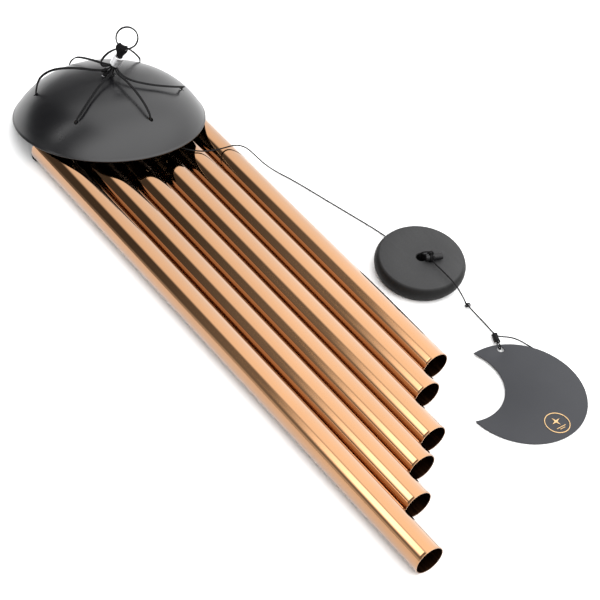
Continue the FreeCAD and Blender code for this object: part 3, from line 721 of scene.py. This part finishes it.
def make_ring_cords():
    """Seven short cords from the sleeve, over the ring's wire and back."""
    reach = RING_WIRE / 2 + 0.3 + CORD / MM / 2
    front = (RING_NORMAL - SLEEVE_AXIS * RING_NORMAL.dot(SLEEVE_AXIS)).normalized()
    lines = []
    for index in range(-3, 4):
        turn = 1.4 * index / RING_RADIUS
        outward = RING_SIDE * math.sin(turn) - RING_UP * math.cos(turn)
        wire = RING_CENTRE + outward * RING_RADIUS
        near = 0.65 if index % 2 else 1.85
        strand = RING_SIDE * (0.7 * index)
        strand = strand - SLEEVE_AXIS * strand.dot(SLEEVE_AXIS)
        first = SLEEVE_TOP + strand + front * near
        last = SLEEVE_TOP + strand - front * near
        route = [
            first,
            first + SLEEVE_AXIS * 1.6,
            wire + RING_NORMAL * reach + outward * 2.6,
            wire + RING_NORMAL * reach - outward * (reach - 1.4),
            wire + RING_NORMAL * reach * 0.9 - outward * (reach + 0.3),
            wire - RING_NORMAL * reach * 0.9 - outward * (reach + 0.3),
            wire - RING_NORMAL * reach - outward * (reach - 1.4),
            wire - RING_NORMAL * reach + outward * 2.0,
            last + SLEEVE_AXIS * 1.6,
            last,
        ]
        lines.append(route_line(scaled(route)))
    return knot_piece("ring_loops", lines, "chime_top", "ring_cords", "cord_bundle")


make_ring_cords()

STRIKER_FOOT = Vector((87.1, -51.5, 3.5))
STRIKER_TILT = math.radians(5.8)
STRIKER_AXIS = Matrix.Rotation(STRIKER_TILT, 3, Vector((0.532, -0.847, 0)).normalized()) @ Z
STRIKER_EAST = (Vector((1, 0, 0)) - STRIKER_AXIS * STRIKER_AXIS.x).normalized()
STRIKER_NORTH = STRIKER_AXIS.cross(STRIKER_EAST)
STRIKER_DIAMETER = 76.4
STRIKER_THICK = 14.9
STRIKER_INSET = 3.4
STRIKER_HOLE = 8.3


def on_striker(x, y, up):
    """Point over the striker's upper face, in millimetres."""
    base = STRIKER_FOOT + STRIKER_AXIS * (STRIKER_THICK + up)
    return base + STRIKER_EAST * x + STRIKER_NORTH * y


TOGGLE_DIAMETER = 6.4
TOGGLE_LENGTH = 15.0
TOGGLE_HEIGHT = TOGGLE_DIAMETER / 2 + 0.3
HITCH_ALONG = 5.15
toggle_start = on_striker(-0.2, -4.6, TOGGLE_HEIGHT)
toggle_axis = (on_striker(13.4, -9.8, TOGGLE_HEIGHT) - toggle_start).normalized()
hitch_middle = toggle_start + toggle_axis * HITCH_ALONG
hitch_side = toggle_axis.cross(STRIKER_AXIS)

# The striker's cord from under the dome to its hole, then the sail's place and knots.
STRIKER_ROUTE = [
    (-40.6, 219.8, 45.6), (-37.6, 210.0, 36.0), (-33.6, 196.0, 30.6), (-30.0, 180.0, 28.0),
    (-25.4, 164.0, 27.0), (-18.6, 148.4, 26.4), (-9.0, 138.6, 26.2), (2.6, 132.6, 26.2),
    (15.0, 130.6, 26.4), (26.0, 128.6, 27.4), (35.6, 126.6, 22.4), (43.6, 124.4, 13.6),
    (50.4, 117.6, 5.4), (56.4, 108.4, 1.2), (63.6, 91.0, 1.0), (74.0, 54.0, 1.0), (88.0, 6.0, 1.0),
    (90.8, -10.0, 1.2), (90.6, -26.0, 1.4), (88.6, -38.0, 1.4), (87.2, -46.6, 1.8),
]
MID_KNOT = Vector((96.9, -103.6, 1.9))
LINE_HEADING = Vector((-0.04, -1, -0.02)).normalized()
SAIL_CENTRE = Vector((70.3, -201.7, 0.0))
SAIL_RADIUS = 52.8
SAIL_TILT = math.radians(1.0)
SAIL_HOLE = Vector((16.3, 44.8, 0.0))
to_hole = SAIL_HOLE.normalized()
sail_turn = Matrix.Rotation(SAIL_TILT, 3, Vector((to_hole.y, -to_hole.x, 0)))
sail_at = SAIL_CENTRE + Vector((0, 0, SAIL_RADIUS * math.sin(SAIL_TILT)))


def sail_point(out, up):
    """Point on the line from the sail's middle through its hole, in millimetres."""
    return sail_at + sail_turn @ (to_hole * out + Vector((0, 0, up)))


KNOT_TOP = Vector((94.4, -139.6, 2.1))
KNOT_END = sail_point(55.0, 1.0)
KNOT_HEADING = (KNOT_END - KNOT_TOP).normalized()


def make_striker_line():
    """The striker's cord, then the three cords from its hitch to the sail."""
    seat = 300
    route = [strand_start(CORD_PITCH, seat), strand_start(CORD_PITCH, seat, FAN_DEPTH)] + STRIKER_ROUTE
    route += [on_striker(-0.4, 1.2, -14.6), on_striker(-0.6, 1.2, 1.4), on_striker(0.8, 1.0, 5.2)]
    route += [hitch_middle + STRIKER_AXIS * 3.4 - hitch_side * 2.8]
    line = free_cord("striker_line", scaled(route), None, ["striker_cord"])
    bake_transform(line)
    upper = [
        hitch_middle + hitch_side * 3.6 + STRIKER_AXIS * 0.6,
        on_striker(3.2, -13.0, 2.6), on_striker(3.6, -20.0, 3.0), on_striker(3.4, -29.0, 3.4),
        on_striker(3.8, -37.6, 2.8),
        Vector((93.6, -95.2, 11.4)), Vector((96.2, -99.2, 5.2)), MID_KNOT - LINE_HEADING * 1.7,
    ]
    free_cord("sail_line_upper", scaled(upper), "striker_line", ["sail_cord"])
    lower = [
        MID_KNOT + LINE_HEADING * 1.7, (97.0, -113.0, 1.0), (96.4, -125.0, 1.0), (95.4, -134.0, 1.3),
        KNOT_TOP + KNOT_HEADING * 0.6,
    ]
    free_cord("sail_line_lower", scaled(lower), "striker_line", ["sail_cord_lower"])
    tail = [
        KNOT_TOP + KNOT_HEADING * 5.0 + Vector((0.9, 0.3, 1.0)),
        (97.2, -147.6, 3.6), (101.7, -150.0, 3.1), (105.8, -153.8, 2.6), (108.6, -158.4, 2.0),
        (111.0, -163.6, 1.2), (113.1, -168.8, 0.66), (114.2, -173.7, 0.66),
    ]
    free_cord("sail_line_tail", scaled(tail), "striker_line", ["sail_cord_tail"])


make_striker_line()


# ------------------------------------------------------------------- stage
FLOOR_RADIUS = 6.0
FLOOR_GAP = 0.0002


def make_floor():
    """Plain pale floor, a hair below the part."""
    floor = lathe("floor", [(0.0, 0.0), (FLOOR_RADIUS, 0.0)], 64, closed=False)
    form = bmesh.new()
    form.from_mesh(floor)
    bmesh.ops.remove_doubles(form, verts=form.verts, dist=1e-6)
    form.to_mesh(floor)
    form.free()
    n = Nodes("floor")
    n.set(Roughness=0.9, Specular_IOR_Level=0.1)
    n.set(Base_Color=(0.80, 0.80, 0.80, 1.0))
    floor.materials.append(n.material)
    stand = bpy.data.objects.new("floor", floor)
    stand.location = (0, 0, -FLOOR_GAP)
    bpy.context.scene.collection.objects.link(stand)


make_floor()


PANEL_LEVEL = 3.1
HORIZON_LEVEL = 0.35
LIGHT_GAIN = 2.0


def make_world():
    """Studio light by direction: white from the right and above, strongest high in
    front, one bright low panel on the left, a faint fill at and below the horizon,
    and a dim room beyond the dome."""
    world = bpy.data.worlds.new("studio")
    world.use_nodes = True
    tree = world.node_tree
    back = tree.nodes["Background"]
    back.inputs["Color"].default_value = (1, 1, 1, 1)
    place = tree.nodes.new("ShaderNodeTexCoord").outputs["Generated"]
    split = tree.nodes.new("ShaderNodeSeparateXYZ")
    tree.links.new(place, split.inputs[0])

    def maths(operation, first, second=None, third=None):
        made = tree.nodes.new("ShaderNodeMath")
        made.operation = operation
        for socket, value in zip(made.inputs, (first, second, third)):
            if value is None:
                continue
            if isinstance(value, (int, float)):
                socket.default_value = value
            else:
                tree.links.new(value, socket)
        return made.outputs[0]

    def soft_step(value, low, high):
        made = tree.nodes.new("ShaderNodeMapRange")
        made.interpolation_type = "SMOOTHSTEP"
        made.inputs["From Min"].default_value = low
        made.inputs["From Max"].default_value = high
        tree.links.new(value, made.inputs["Value"])
        return made.outputs["Result"]

    def past(angle):
        """Sine-like distance of a direction past an angle in the XZ plane."""
        turn = math.radians(angle)
        return maths(
            "ADD",
            maths("MULTIPLY", split.outputs["X"], -math.sin(turn)),
            maths("MULTIPLY", split.outputs["Z"], math.cos(turn)),
        )

    def before(value, low, high):
        """One below the first value, nothing above the second, soft between."""
        return maths("SUBTRACT", 1.0, soft_step(value, low, high))

    def less(value, low, high, amount, total):
        """Take a soft step's share of an amount off a running total."""
        return maths("MULTIPLY_ADD", soft_step(value, low, high), -amount, total)

    across = split.outputs["X"]
    along = split.outputs["Y"]
    up = split.outputs["Z"]
    box = maths("MULTIPLY", before(along, -0.20, 0.20), soft_step(up, 0.30, 0.65))
    level = maths("MULTIPLY_ADD", box, 0.50, less(along, -0.9, -0.3, -0.2, 0.92))
    level = less(along, 0.42, 0.60, 0.20, level)
    level = less(along, 0.58, 0.84, 0.80, level)
    right_back = maths("MULTIPLY", soft_step(across, 0.45, 0.65), soft_step(along, 0.58, 0.72))
    level = maths("MULTIPLY_ADD", right_back, 0.30, level)
    rise = maths("MULTIPLY_ADD", soft_step(past(45.0), -0.7, 0.4), 0.24, 0.76)
    level = maths("MULTIPLY", level, rise)
    white = maths("MAXIMUM", before(past(108.0), -0.16, 0.10), box)
    panel = maths("MULTIPLY", soft_step(past(110.0), -0.06, 0.08), before(past(150.0), -0.2, 0.1))
    panel = maths("MULTIPLY", panel, before(along, 0.42, 0.505))
    panel = maths("MULTIPLY", panel, soft_step(along, 0.36, 0.42))
    gloom = less(along, 0.50, 0.59, 0.15, 0.21)
    horizon = maths("MULTIPLY", soft_step(past(165.0), -0.06, 0.1), before(along, 0.5, 0.7))
    total = maths("MULTIPLY", white, level)
    total = maths("MULTIPLY_ADD", panel, PANEL_LEVEL, total)
    total = maths("MULTIPLY_ADD", horizon, HORIZON_LEVEL, total)
    total = maths("ADD", total, gloom)
    total = maths("MULTIPLY", total, LIGHT_GAIN)
    tree.links.new(total, back.inputs["Strength"])
    bpy.context.scene.world = world


make_world()
bpy.context.scene.view_settings.view_transform = "Standard"


# ------------------------------------------------------------------ tubes
TUBE_EDGE = 0.4
CROSS_HOLE_RADIUS = 2.0
DOME_HOLE_RADIUS = 1.8
CROWN_HOLE_RADIUS = 6.0


def rounded_wall(inner, outer, low, high, rounding):
    """Closed section of a tube wall with rounded ends."""
    return (
        arc(outer - rounding, low + rounding, rounding, -90, 0, 4)
        + [(outer, low + 2.4), (outer, high - 2.4)]
        + arc(outer - rounding, high - rounding, rounding, 0, 90, 4)
        + arc(inner + rounding, high - rounding, rounding, 90, 180, 4)
        + [(inner, high - 2.4), (inner, low + 2.4)]
        + arc(inner + rounding, low + rounding, rounding, 180, 270, 4)
    )


def paint_inside(mesh, axis_point, radius):
    """Give a tube's inner wall the second material, whose dark colour is painted shade."""
    for polygon in mesh.polygons:
        middle = polygon.center - axis_point
        if math.hypot(middle.x, middle.z) < radius and abs(polygon.normal.y) < 0.9:
            polygon.material_index = 1


def make_tube(number):
    """One chime tube: a thin wall with softened rims, drilled across for its cord."""
    low, high = tube_ends(number)
    length = (high - low).length
    inner = TUBE_RADIUS - TUBE_WALL
    wall = rounded_wall(inner, TUBE_RADIUS, 0.0, length, TUBE_EDGE)
    near = length - HOLE_DROP
    wall[6:6] = [(TUBE_RADIUS, near - 5.0), (TUBE_RADIUS, near + 4.0)]
    inside = wall.index((inner, length - 2.4)) + 1
    wall[inside:inside] = [(inner, near + 4.0), (inner, near - 5.0)]
    mesh = lathe("tube_wall", [(radius * MM, height * MM) for radius, height in wall], 160)
    placed(mesh, low * MM, high - low)
    middle = (high - Vector((0, HOLE_DROP, 0))) * MM
    reach = roll_out * 20 * MM
    mesh = drill(mesh, [(middle - reach, middle + reach, CROSS_HOLE_RADIUS * MM)])
    paint_inside(mesh, low * MM, (inner + 0.2) * MM)
    body = f"tube_{number}"
    return add_piece(f"tube_wall_{number}", mesh, [COPPER, PAINTED_SHADE_INSIDE], body, "tube_copper", body)


for number in range(1, 7):
    make_tube(number)


# ------------------------------------------------------------------- dome
def make_dome():
    """Spun dome with a rolled rim, six cord holes and one hole in the middle."""
    rim = DOME_DIAMETER / 2
    blend = math.degrees(math.atan2(KNUCKLE_Z - CROWN_Z, KNUCKLE_X))
    edge = math.degrees(math.atan2(-KNUCKLE_Z, rim - KNUCKLE_X))
    hole = math.degrees(math.acos(CROWN_HOLE_RADIUS / CROWN))
    outside = arc(0.0, CROWN_Z, CROWN, hole, blend, 44)
    outside += arc(KNUCKLE_X, KNUCKLE_Z, KNUCKLE, blend, edge, 60)[1:]
    trimmed = [point for point in outside if point[1] > 1.5]
    lip = arc(rim - 0.72, 0.78, 0.72, 28, -208, 14)
    inside = [(radius - DOME_WALL * 1.02, height - 0.25) for radius, height in reversed(trimmed[46:])]
    inside += arc(0.0, CROWN_Z, CROWN - DOME_WALL, blend, hole, 44)
    section = trimmed + lip + inside
    mesh = lathe("dome_shell", [(radius * MM, height * MM) for radius, height in section], 192)
    turn = dome_turn.to_4x4()
    mesh.transform(Matrix.Translation(dome_at * MM) @ turn)
    up = dome_turn @ Vector((0, 0, 1))
    cutters = []
    for index in range(6):
        spot = hole_point(index, 0.0) * MM
        cutters.append((spot - up * 6 * MM, spot + up * 6 * MM, DOME_HOLE_RADIUS * MM))
    mesh = drill(mesh, cutters)
    return add_piece("dome_shell", mesh, [SATIN], "chime_top", "dome_black", "dome", sharp=50.0)


make_dome()


# ------------------------------------------------------------- small parts
def make_split_ring():
    """Two touching turns of wire, slightly out of line with each other."""
    wire = 0.62
    across = (CAMERA_RIGHT * -0.42 + CAMERA_UP * 0.9).normalized()
    across = (across - RING_NORMAL * across.dot(RING_NORMAL)).normalized()
    line = []
    steps = 260
    for step in range(steps + 1):
        turn = 2 * math.tau * step / steps
        share = min(max((turn - math.tau + 0.45) / 0.9, 0.0), 1.0)
        share = share * share * (3 - 2 * share)
        angle = turn + 3.6
        spot = RING_CENTRE + RING_NORMAL * (1.24 * (share - 0.5)) + across * (0.32 * (1 - 2 * share))
        line.append((spot + (RING_UP * math.sin(angle) + RING_SIDE * math.cos(angle)) * 9.15) * MM)
    mesh = tube_mesh("split_ring", line, lambda run, turn: wire * MM, 20)
    return add_piece("split_ring", mesh, [PLATING], "ring", "ring_black", "hanging_ring", sharp=60.0)


make_split_ring()


def make_sleeve():
    """Crimped soft metal sleeve with rounded ends and two rows of tool dents."""
    wall = (
        arc(SLEEVE_DIAMETER / 2 - 0.4, 0.4, 0.4, -90, 0, 5)
        + [(SLEEVE_DIAMETER / 2, 0.4 + 0.45 * step) for step in range(1, 20)]
        + arc(SLEEVE_DIAMETER / 2 - 0.4, SLEEVE_LENGTH - 0.4, 0.4, 0, 90, 5)
        + [(SLEEVE_BORE / 2, SLEEVE_LENGTH), (SLEEVE_BORE / 2, 0.0)]
    )
    mesh = lathe("sleeve", wall, 72)
    for vertex in mesh.vertices:
        radius = math.hypot(vertex.co.x, vertex.co.y)
        if radius < SLEEVE_BORE / 2 + 0.3:
            continue
        turn = math.atan2(vertex.co.y, vertex.co.x)
        flat = max(0.0, math.cos(6 * turn)) ** 2
        dent = math.exp(-((vertex.co.z - 3.0) / 1.1) ** 2) + math.exp(-((vertex.co.z - 6.8) / 1.1) ** 2)
        shrink = 1.0 - (0.012 + 0.05 * dent) * flat
        vertex.co.x *= shrink
        vertex.co.y *= shrink
    mesh.transform(Matrix.Scale(MM, 4))
    placed(mesh, SLEEVE_FOOT * MM, SLEEVE_AXIS)
    return add_piece("sleeve", mesh, [ALUMINIUM], "chime_top", "sleeve_aluminium", "crimp_sleeve", sharp=60.0)


make_sleeve()


def make_striker():
    """Turned disc: flat faces, soft shoulders, a full round side and a cord hole."""
    half = STRIKER_THICK / 2
    face = STRIKER_DIAMETER / 2 - STRIKER_INSET
    radius = (half ** 2 + STRIKER_INSET ** 2) / (2 * STRIKER_INSET)
    middle = STRIKER_DIAMETER / 2 - radius
    reach = math.degrees(math.asin(half / radius))
    soft = 0.35
    side = arc(middle, half, radius, -reach, reach, 24)[2:-2]
    section = (
        [(STRIKER_HOLE / 2 + 0.6, 0.0), (face - soft, 0.0)]
        + [(face + 0.15, 0.28)]
        + side
        + [(face + 0.15, STRIKER_THICK - 0.28)]
        + [(face - soft, STRIKER_THICK), (20.0, STRIKER_THICK), (STRIKER_HOLE / 2 + 0.6, STRIKER_THICK)]
        + [(STRIKER_HOLE / 2, STRIKER_THICK - 0.6), (STRIKER_HOLE / 2, 0.6)]
    )
    mesh = lathe("striker", [(r * MM, h * MM) for r, h in section], 160)
    placed(mesh, STRIKER_FOOT * MM, STRIKER_AXIS)
    return add_piece("striker", mesh, [STAIN], "striker", "striker_wood", "striker_disc", sharp=40.0)


make_striker()


def make_toggle():
    """Moulded rod with rounded ends."""
    radius = TOGGLE_DIAMETER / 2
    section = (
        [(0.0, 0.0), (radius - 1.0, 0.0)]
        + arc(radius - 0.9, 0.9, 0.9, -80, 0, 6)
        + [(radius, 3.0), (radius, TOGGLE_LENGTH - 3.0)]
        + arc(radius - 0.9, TOGGLE_LENGTH - 0.9, 0.9, 0, 80, 6)
        + [(radius - 1.0, TOGGLE_LENGTH), (0.0, TOGGLE_LENGTH)]
    )
    mesh = lathe("toggle", [(r * MM, h * MM) for r, h in section], 64, closed=False)
    placed(mesh, toggle_start * MM, toggle_axis)
    return add_piece("toggle", mesh, [GLOSS], "striker_line", "toggle_black", "toggle_bead", sharp=60.0)


make_toggle()


# ------------------------------------------------------------------- knots
def coil(origin, axis, wide, high, pitch, turns, start=0.0):
    """A flattened coil round a level axis, sized in millimetres, as points in metres."""
    side = axis.cross(Z).normalized()
    other = side.cross(axis)
    line = []
    steps = int(28 * turns)
    for step in range(steps + 1):
        turn = start + math.tau * turns * step / steps
        reach = side * math.cos(turn) * wide + other * math.sin(turn) * high
        line.append(origin + axis * (pitch * turns * step / steps) + reach)
    return scaled(line)


def overhand(centre, axis, width, length, height):
    """A drawn-up overhand knot, sized in millimetres, as points in metres."""
    side = axis.cross(Z).normalized()
    other = side.cross(axis)
    line = []
    for step in range(73):
        turn = math.tau * step / 72
        x = (math.sin(turn) + 2 * math.sin(2 * turn)) / 3
        y = (math.cos(turn) - 2 * math.cos(2 * turn)) / 3
        z = -math.sin(3 * turn)
        line.append(centre + side * x * width + axis * y * length + other * z * height)
    return scaled(line)


def make_knots():
    """The hitch on the toggle, both knots of the sail's line, and the gathered cord; over the crown hole it
    is partly real cord and partly a black heap standing in for shade.
    """
    around = TOGGLE_DIAMETER / 2 + CORD / MM / 2 + 0.02
    first = toggle_start + toggle_axis * 3.2
    lines = [coil(first, toggle_axis, around, around, 1.22, 2.8, 2.2)]
    top = hitch_middle + STRIKER_AXIS * (around + 0.6)
    lines.append(overhand(top - hitch_side * 0.6, toggle_axis, 1.7, 1.7, 0.7))
    knot_piece("toggle_knot", lines, "striker_line", "toggle_hitch")
    centre = MID_KNOT + Vector((0, 0, 0.2))
    knot_piece("line_knot", [overhand(centre, LINE_HEADING, 2.1, 2.7, 0.8)], "striker_line", "mid_knot")
    lift = Vector((0, 0, 0.25))
    span = (KNOT_END - KNOT_TOP).length
    stack = [
        overhand(KNOT_TOP + KNOT_HEADING * 1.7 + lift, KNOT_HEADING, 2.2, 1.6, 0.9),
        coil(KNOT_TOP + KNOT_HEADING * 3.4 + lift, KNOT_HEADING, 1.9, 1.4, 1.16, (span - 5.4) / 1.16),
        scaled([KNOT_TOP + KNOT_HEADING * 0.6, KNOT_END - KNOT_HEADING * 0.6]),
        overhand(KNOT_END - KNOT_HEADING * 1.5 + lift, KNOT_HEADING, 2.2, 1.4, 0.9),
    ]
    knot_piece("sail_knot_turns", stack, "striker_line", "sail_knot")
    hub = SLEEVE_FOOT - SLEEVE_AXIS * 13.4
    gathered_cord_and_shade_heap = [
        overhand(hub + Vector((-1.2, 0.4, 1.6)), SLEEVE_EAST, 3.4, 3.6, 2.2),
        overhand(hub + Vector((-3.4, 1.8, 3.8)), SLEEVE_NORTH, 2.6, 2.8, 1.9),
        overhand(hub + Vector((0.6, -1.2, 0.2)), (SLEEVE_EAST + SLEEVE_NORTH).normalized(), 3.0, 3.2, 1.6),
        overhand(hub + Vector((-0.6, 0.6, 0.8)), SLEEVE_EAST, 5.2, 5.2, 1.2),
        overhand(hub + Vector((-0.6, 0.6, 0.0)), SLEEVE_NORTH, 5.0, 4.6, 1.0),
    ]
    # Stacked loops over the crown hole: partly real cord, partly a black heap that stands in for the shade
    # and shadow round the hub.
    crown = dome_at + dome_turn @ Vector((0, 0, dome_height_at(0.0)))
    for level, width in ((-1.2, 5.3), (-0.4, 4.9), (0.4, 4.3), (1.2, 3.6), (2.0, 2.8)):
        turn = Matrix.Rotation(level * 1.3, 3, "Z")
        gathered_cord_and_shade_heap.append(overhand(crown + Z * level, turn @ SLEEVE_EAST, width, width, 0.9))
    knot_piece("hub_knot", gathered_cord_and_shade_heap, "chime_top")


make_knots()

SAIL_THICK = 1.2
BITE = Vector((-41.1, 33.6, 0.0))
BITE_RADIUS = 39.5


def crescent(inset):
    """Outline of the sail shrunk inwards by an inset, in the sail's own frame."""
    radius = SAIL_RADIUS - inset
    bite = BITE_RADIUS + inset
    gap = BITE.length
    toward = math.atan2(BITE.y, BITE.x)
    open_half = math.acos((radius ** 2 + gap ** 2 - bite ** 2) / (2 * radius * gap))
    bite_half = math.acos((bite ** 2 + gap ** 2 - radius ** 2) / (2 * bite * gap))
    outline = []
    for step in range(181):
        turn = toward + open_half + (math.tau - 2 * open_half) * step / 180
        outline.append(Vector((radius * math.cos(turn), radius * math.sin(turn), 0)))
    for step in range(1, 90):
        turn = toward + math.pi + bite_half - 2 * bite_half * step / 90
        outline.append(BITE + Vector((bite * math.cos(turn), bite * math.sin(turn), 0)))
    return outline


def circle(centre, radius, count=48):
    """Points evenly round a level circle."""
    points = []
    for step in range(count):
        turn = math.tau * step / count
        points.append(centre + Vector((radius * math.cos(turn), radius * math.sin(turn), 0)))
    return points


def make_sail():
    """Crescent plate with softened edges and one hole for its cord."""
    form = bmesh.new()
    layers = [(0.26, 0.0), (0.08, 0.08), (0.0, 0.26)]
    layers += [(inset, SAIL_THICK - height) for inset, height in reversed(layers)]
    caps = []
    for outline_at in (crescent, lambda inset: circle(SAIL_HOLE, 3.0 + inset)):
        rings = []
        for inset, height in layers:
            rings.append([form.verts.new((point.x, point.y, height)) for point in outline_at(inset)])
        for lower, upper in zip(rings, rings[1:]):
            for index in range(len(lower)):
                ahead = (index + 1) % len(lower)
                form.faces.new((lower[index], lower[ahead], upper[ahead], upper[index]))
        caps.append((rings[0], rings[-1]))
    for place in (0, 1):
        edges = []
        for pair in caps:
            ring = pair[place]
            for index in range(len(ring)):
                edges.append(form.edges.get((ring[index], ring[(index + 1) % len(ring)])))
        bmesh.ops.triangle_fill(form, edges=edges, use_beauty=True)
    bmesh.ops.recalc_face_normals(form, faces=form.faces)
    mesh = bpy.data.meshes.new("sail")
    form.to_mesh(mesh)
    form.free()
    mesh.transform(Matrix.Scale(MM, 4))
    mesh.transform(Matrix.Translation(sail_at * MM) @ sail_turn.to_4x4())
    return add_piece("sail", mesh, [COAT], "sail", "sail_grey", "wind_sail", sharp=50.0)


make_sail()


def make_sail_loop():
    """The short loop that ties the sail to its knot."""
    route = [
        sail_point(55.6, 1.9), sail_point(51.8, 3.0), sail_point(48.4, 2.6), sail_point(48.4, -0.7),
        sail_point(52.2, -0.95), sail_point(55.4, -0.3),
    ]
    piece = braided("sail_loop_cord", route_line(scaled(route)), None, "sail_loop")
    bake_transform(piece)
    return piece


make_sail_loop()

BADGE_SPOT = Vector((3.1, -38.2, SAIL_THICK))
BADGE_RADIUS = 10.5
BADGE_THICK = 0.4


def make_badge():
    """Thin foil ring with a small four-pointed star over two short bars."""
    band = [
        (BADGE_RADIUS, 0.0), (BADGE_RADIUS, BADGE_THICK - 0.1), (BADGE_RADIUS - 0.1, BADGE_THICK),
        (BADGE_RADIUS - 0.7, BADGE_THICK), (BADGE_RADIUS - 0.8, BADGE_THICK - 0.1), (BADGE_RADIUS - 0.8, 0.0),
    ]
    merged = bmesh.new()
    merged.from_mesh(lathe("band", band, 96))
    star = []
    for index, reach in enumerate([4.6, 1.1] * 4):
        turn = math.radians(45 * index + 12)
        star.append((reach * math.cos(turn), reach * math.sin(turn) + 1.6))
    shapes = [star]
    for width, level in ((4.6, -5.0), (2.6, -6.6)):
        shapes.append([(-width, level), (width, level), (width, level + 0.55), (-width, level + 0.55)])
    for outline in shapes:
        lower = [merged.verts.new((x, y, 0.0)) for x, y in outline]
        upper = [merged.verts.new((x, y, BADGE_THICK)) for x, y in outline]
        for index in range(len(outline)):
            ahead = (index + 1) % len(outline)
            merged.faces.new((lower[index], lower[ahead], upper[ahead], upper[index]))
        merged.faces.new(upper)
        merged.faces.new(list(reversed(lower)))
    mesh = bpy.data.meshes.new("badge")
    merged.to_mesh(mesh)
    merged.free()
    spot = sail_at + sail_turn @ BADGE_SPOT
    mesh.transform(Matrix.Scale(MM, 4))
    mesh.transform(Matrix.Translation(spot * MM) @ sail_turn.to_4x4())
    return add_piece("badge", mesh, [FOIL], "sail", "badge_gold", "sail_badge", sharp=30.0)


make_badge()
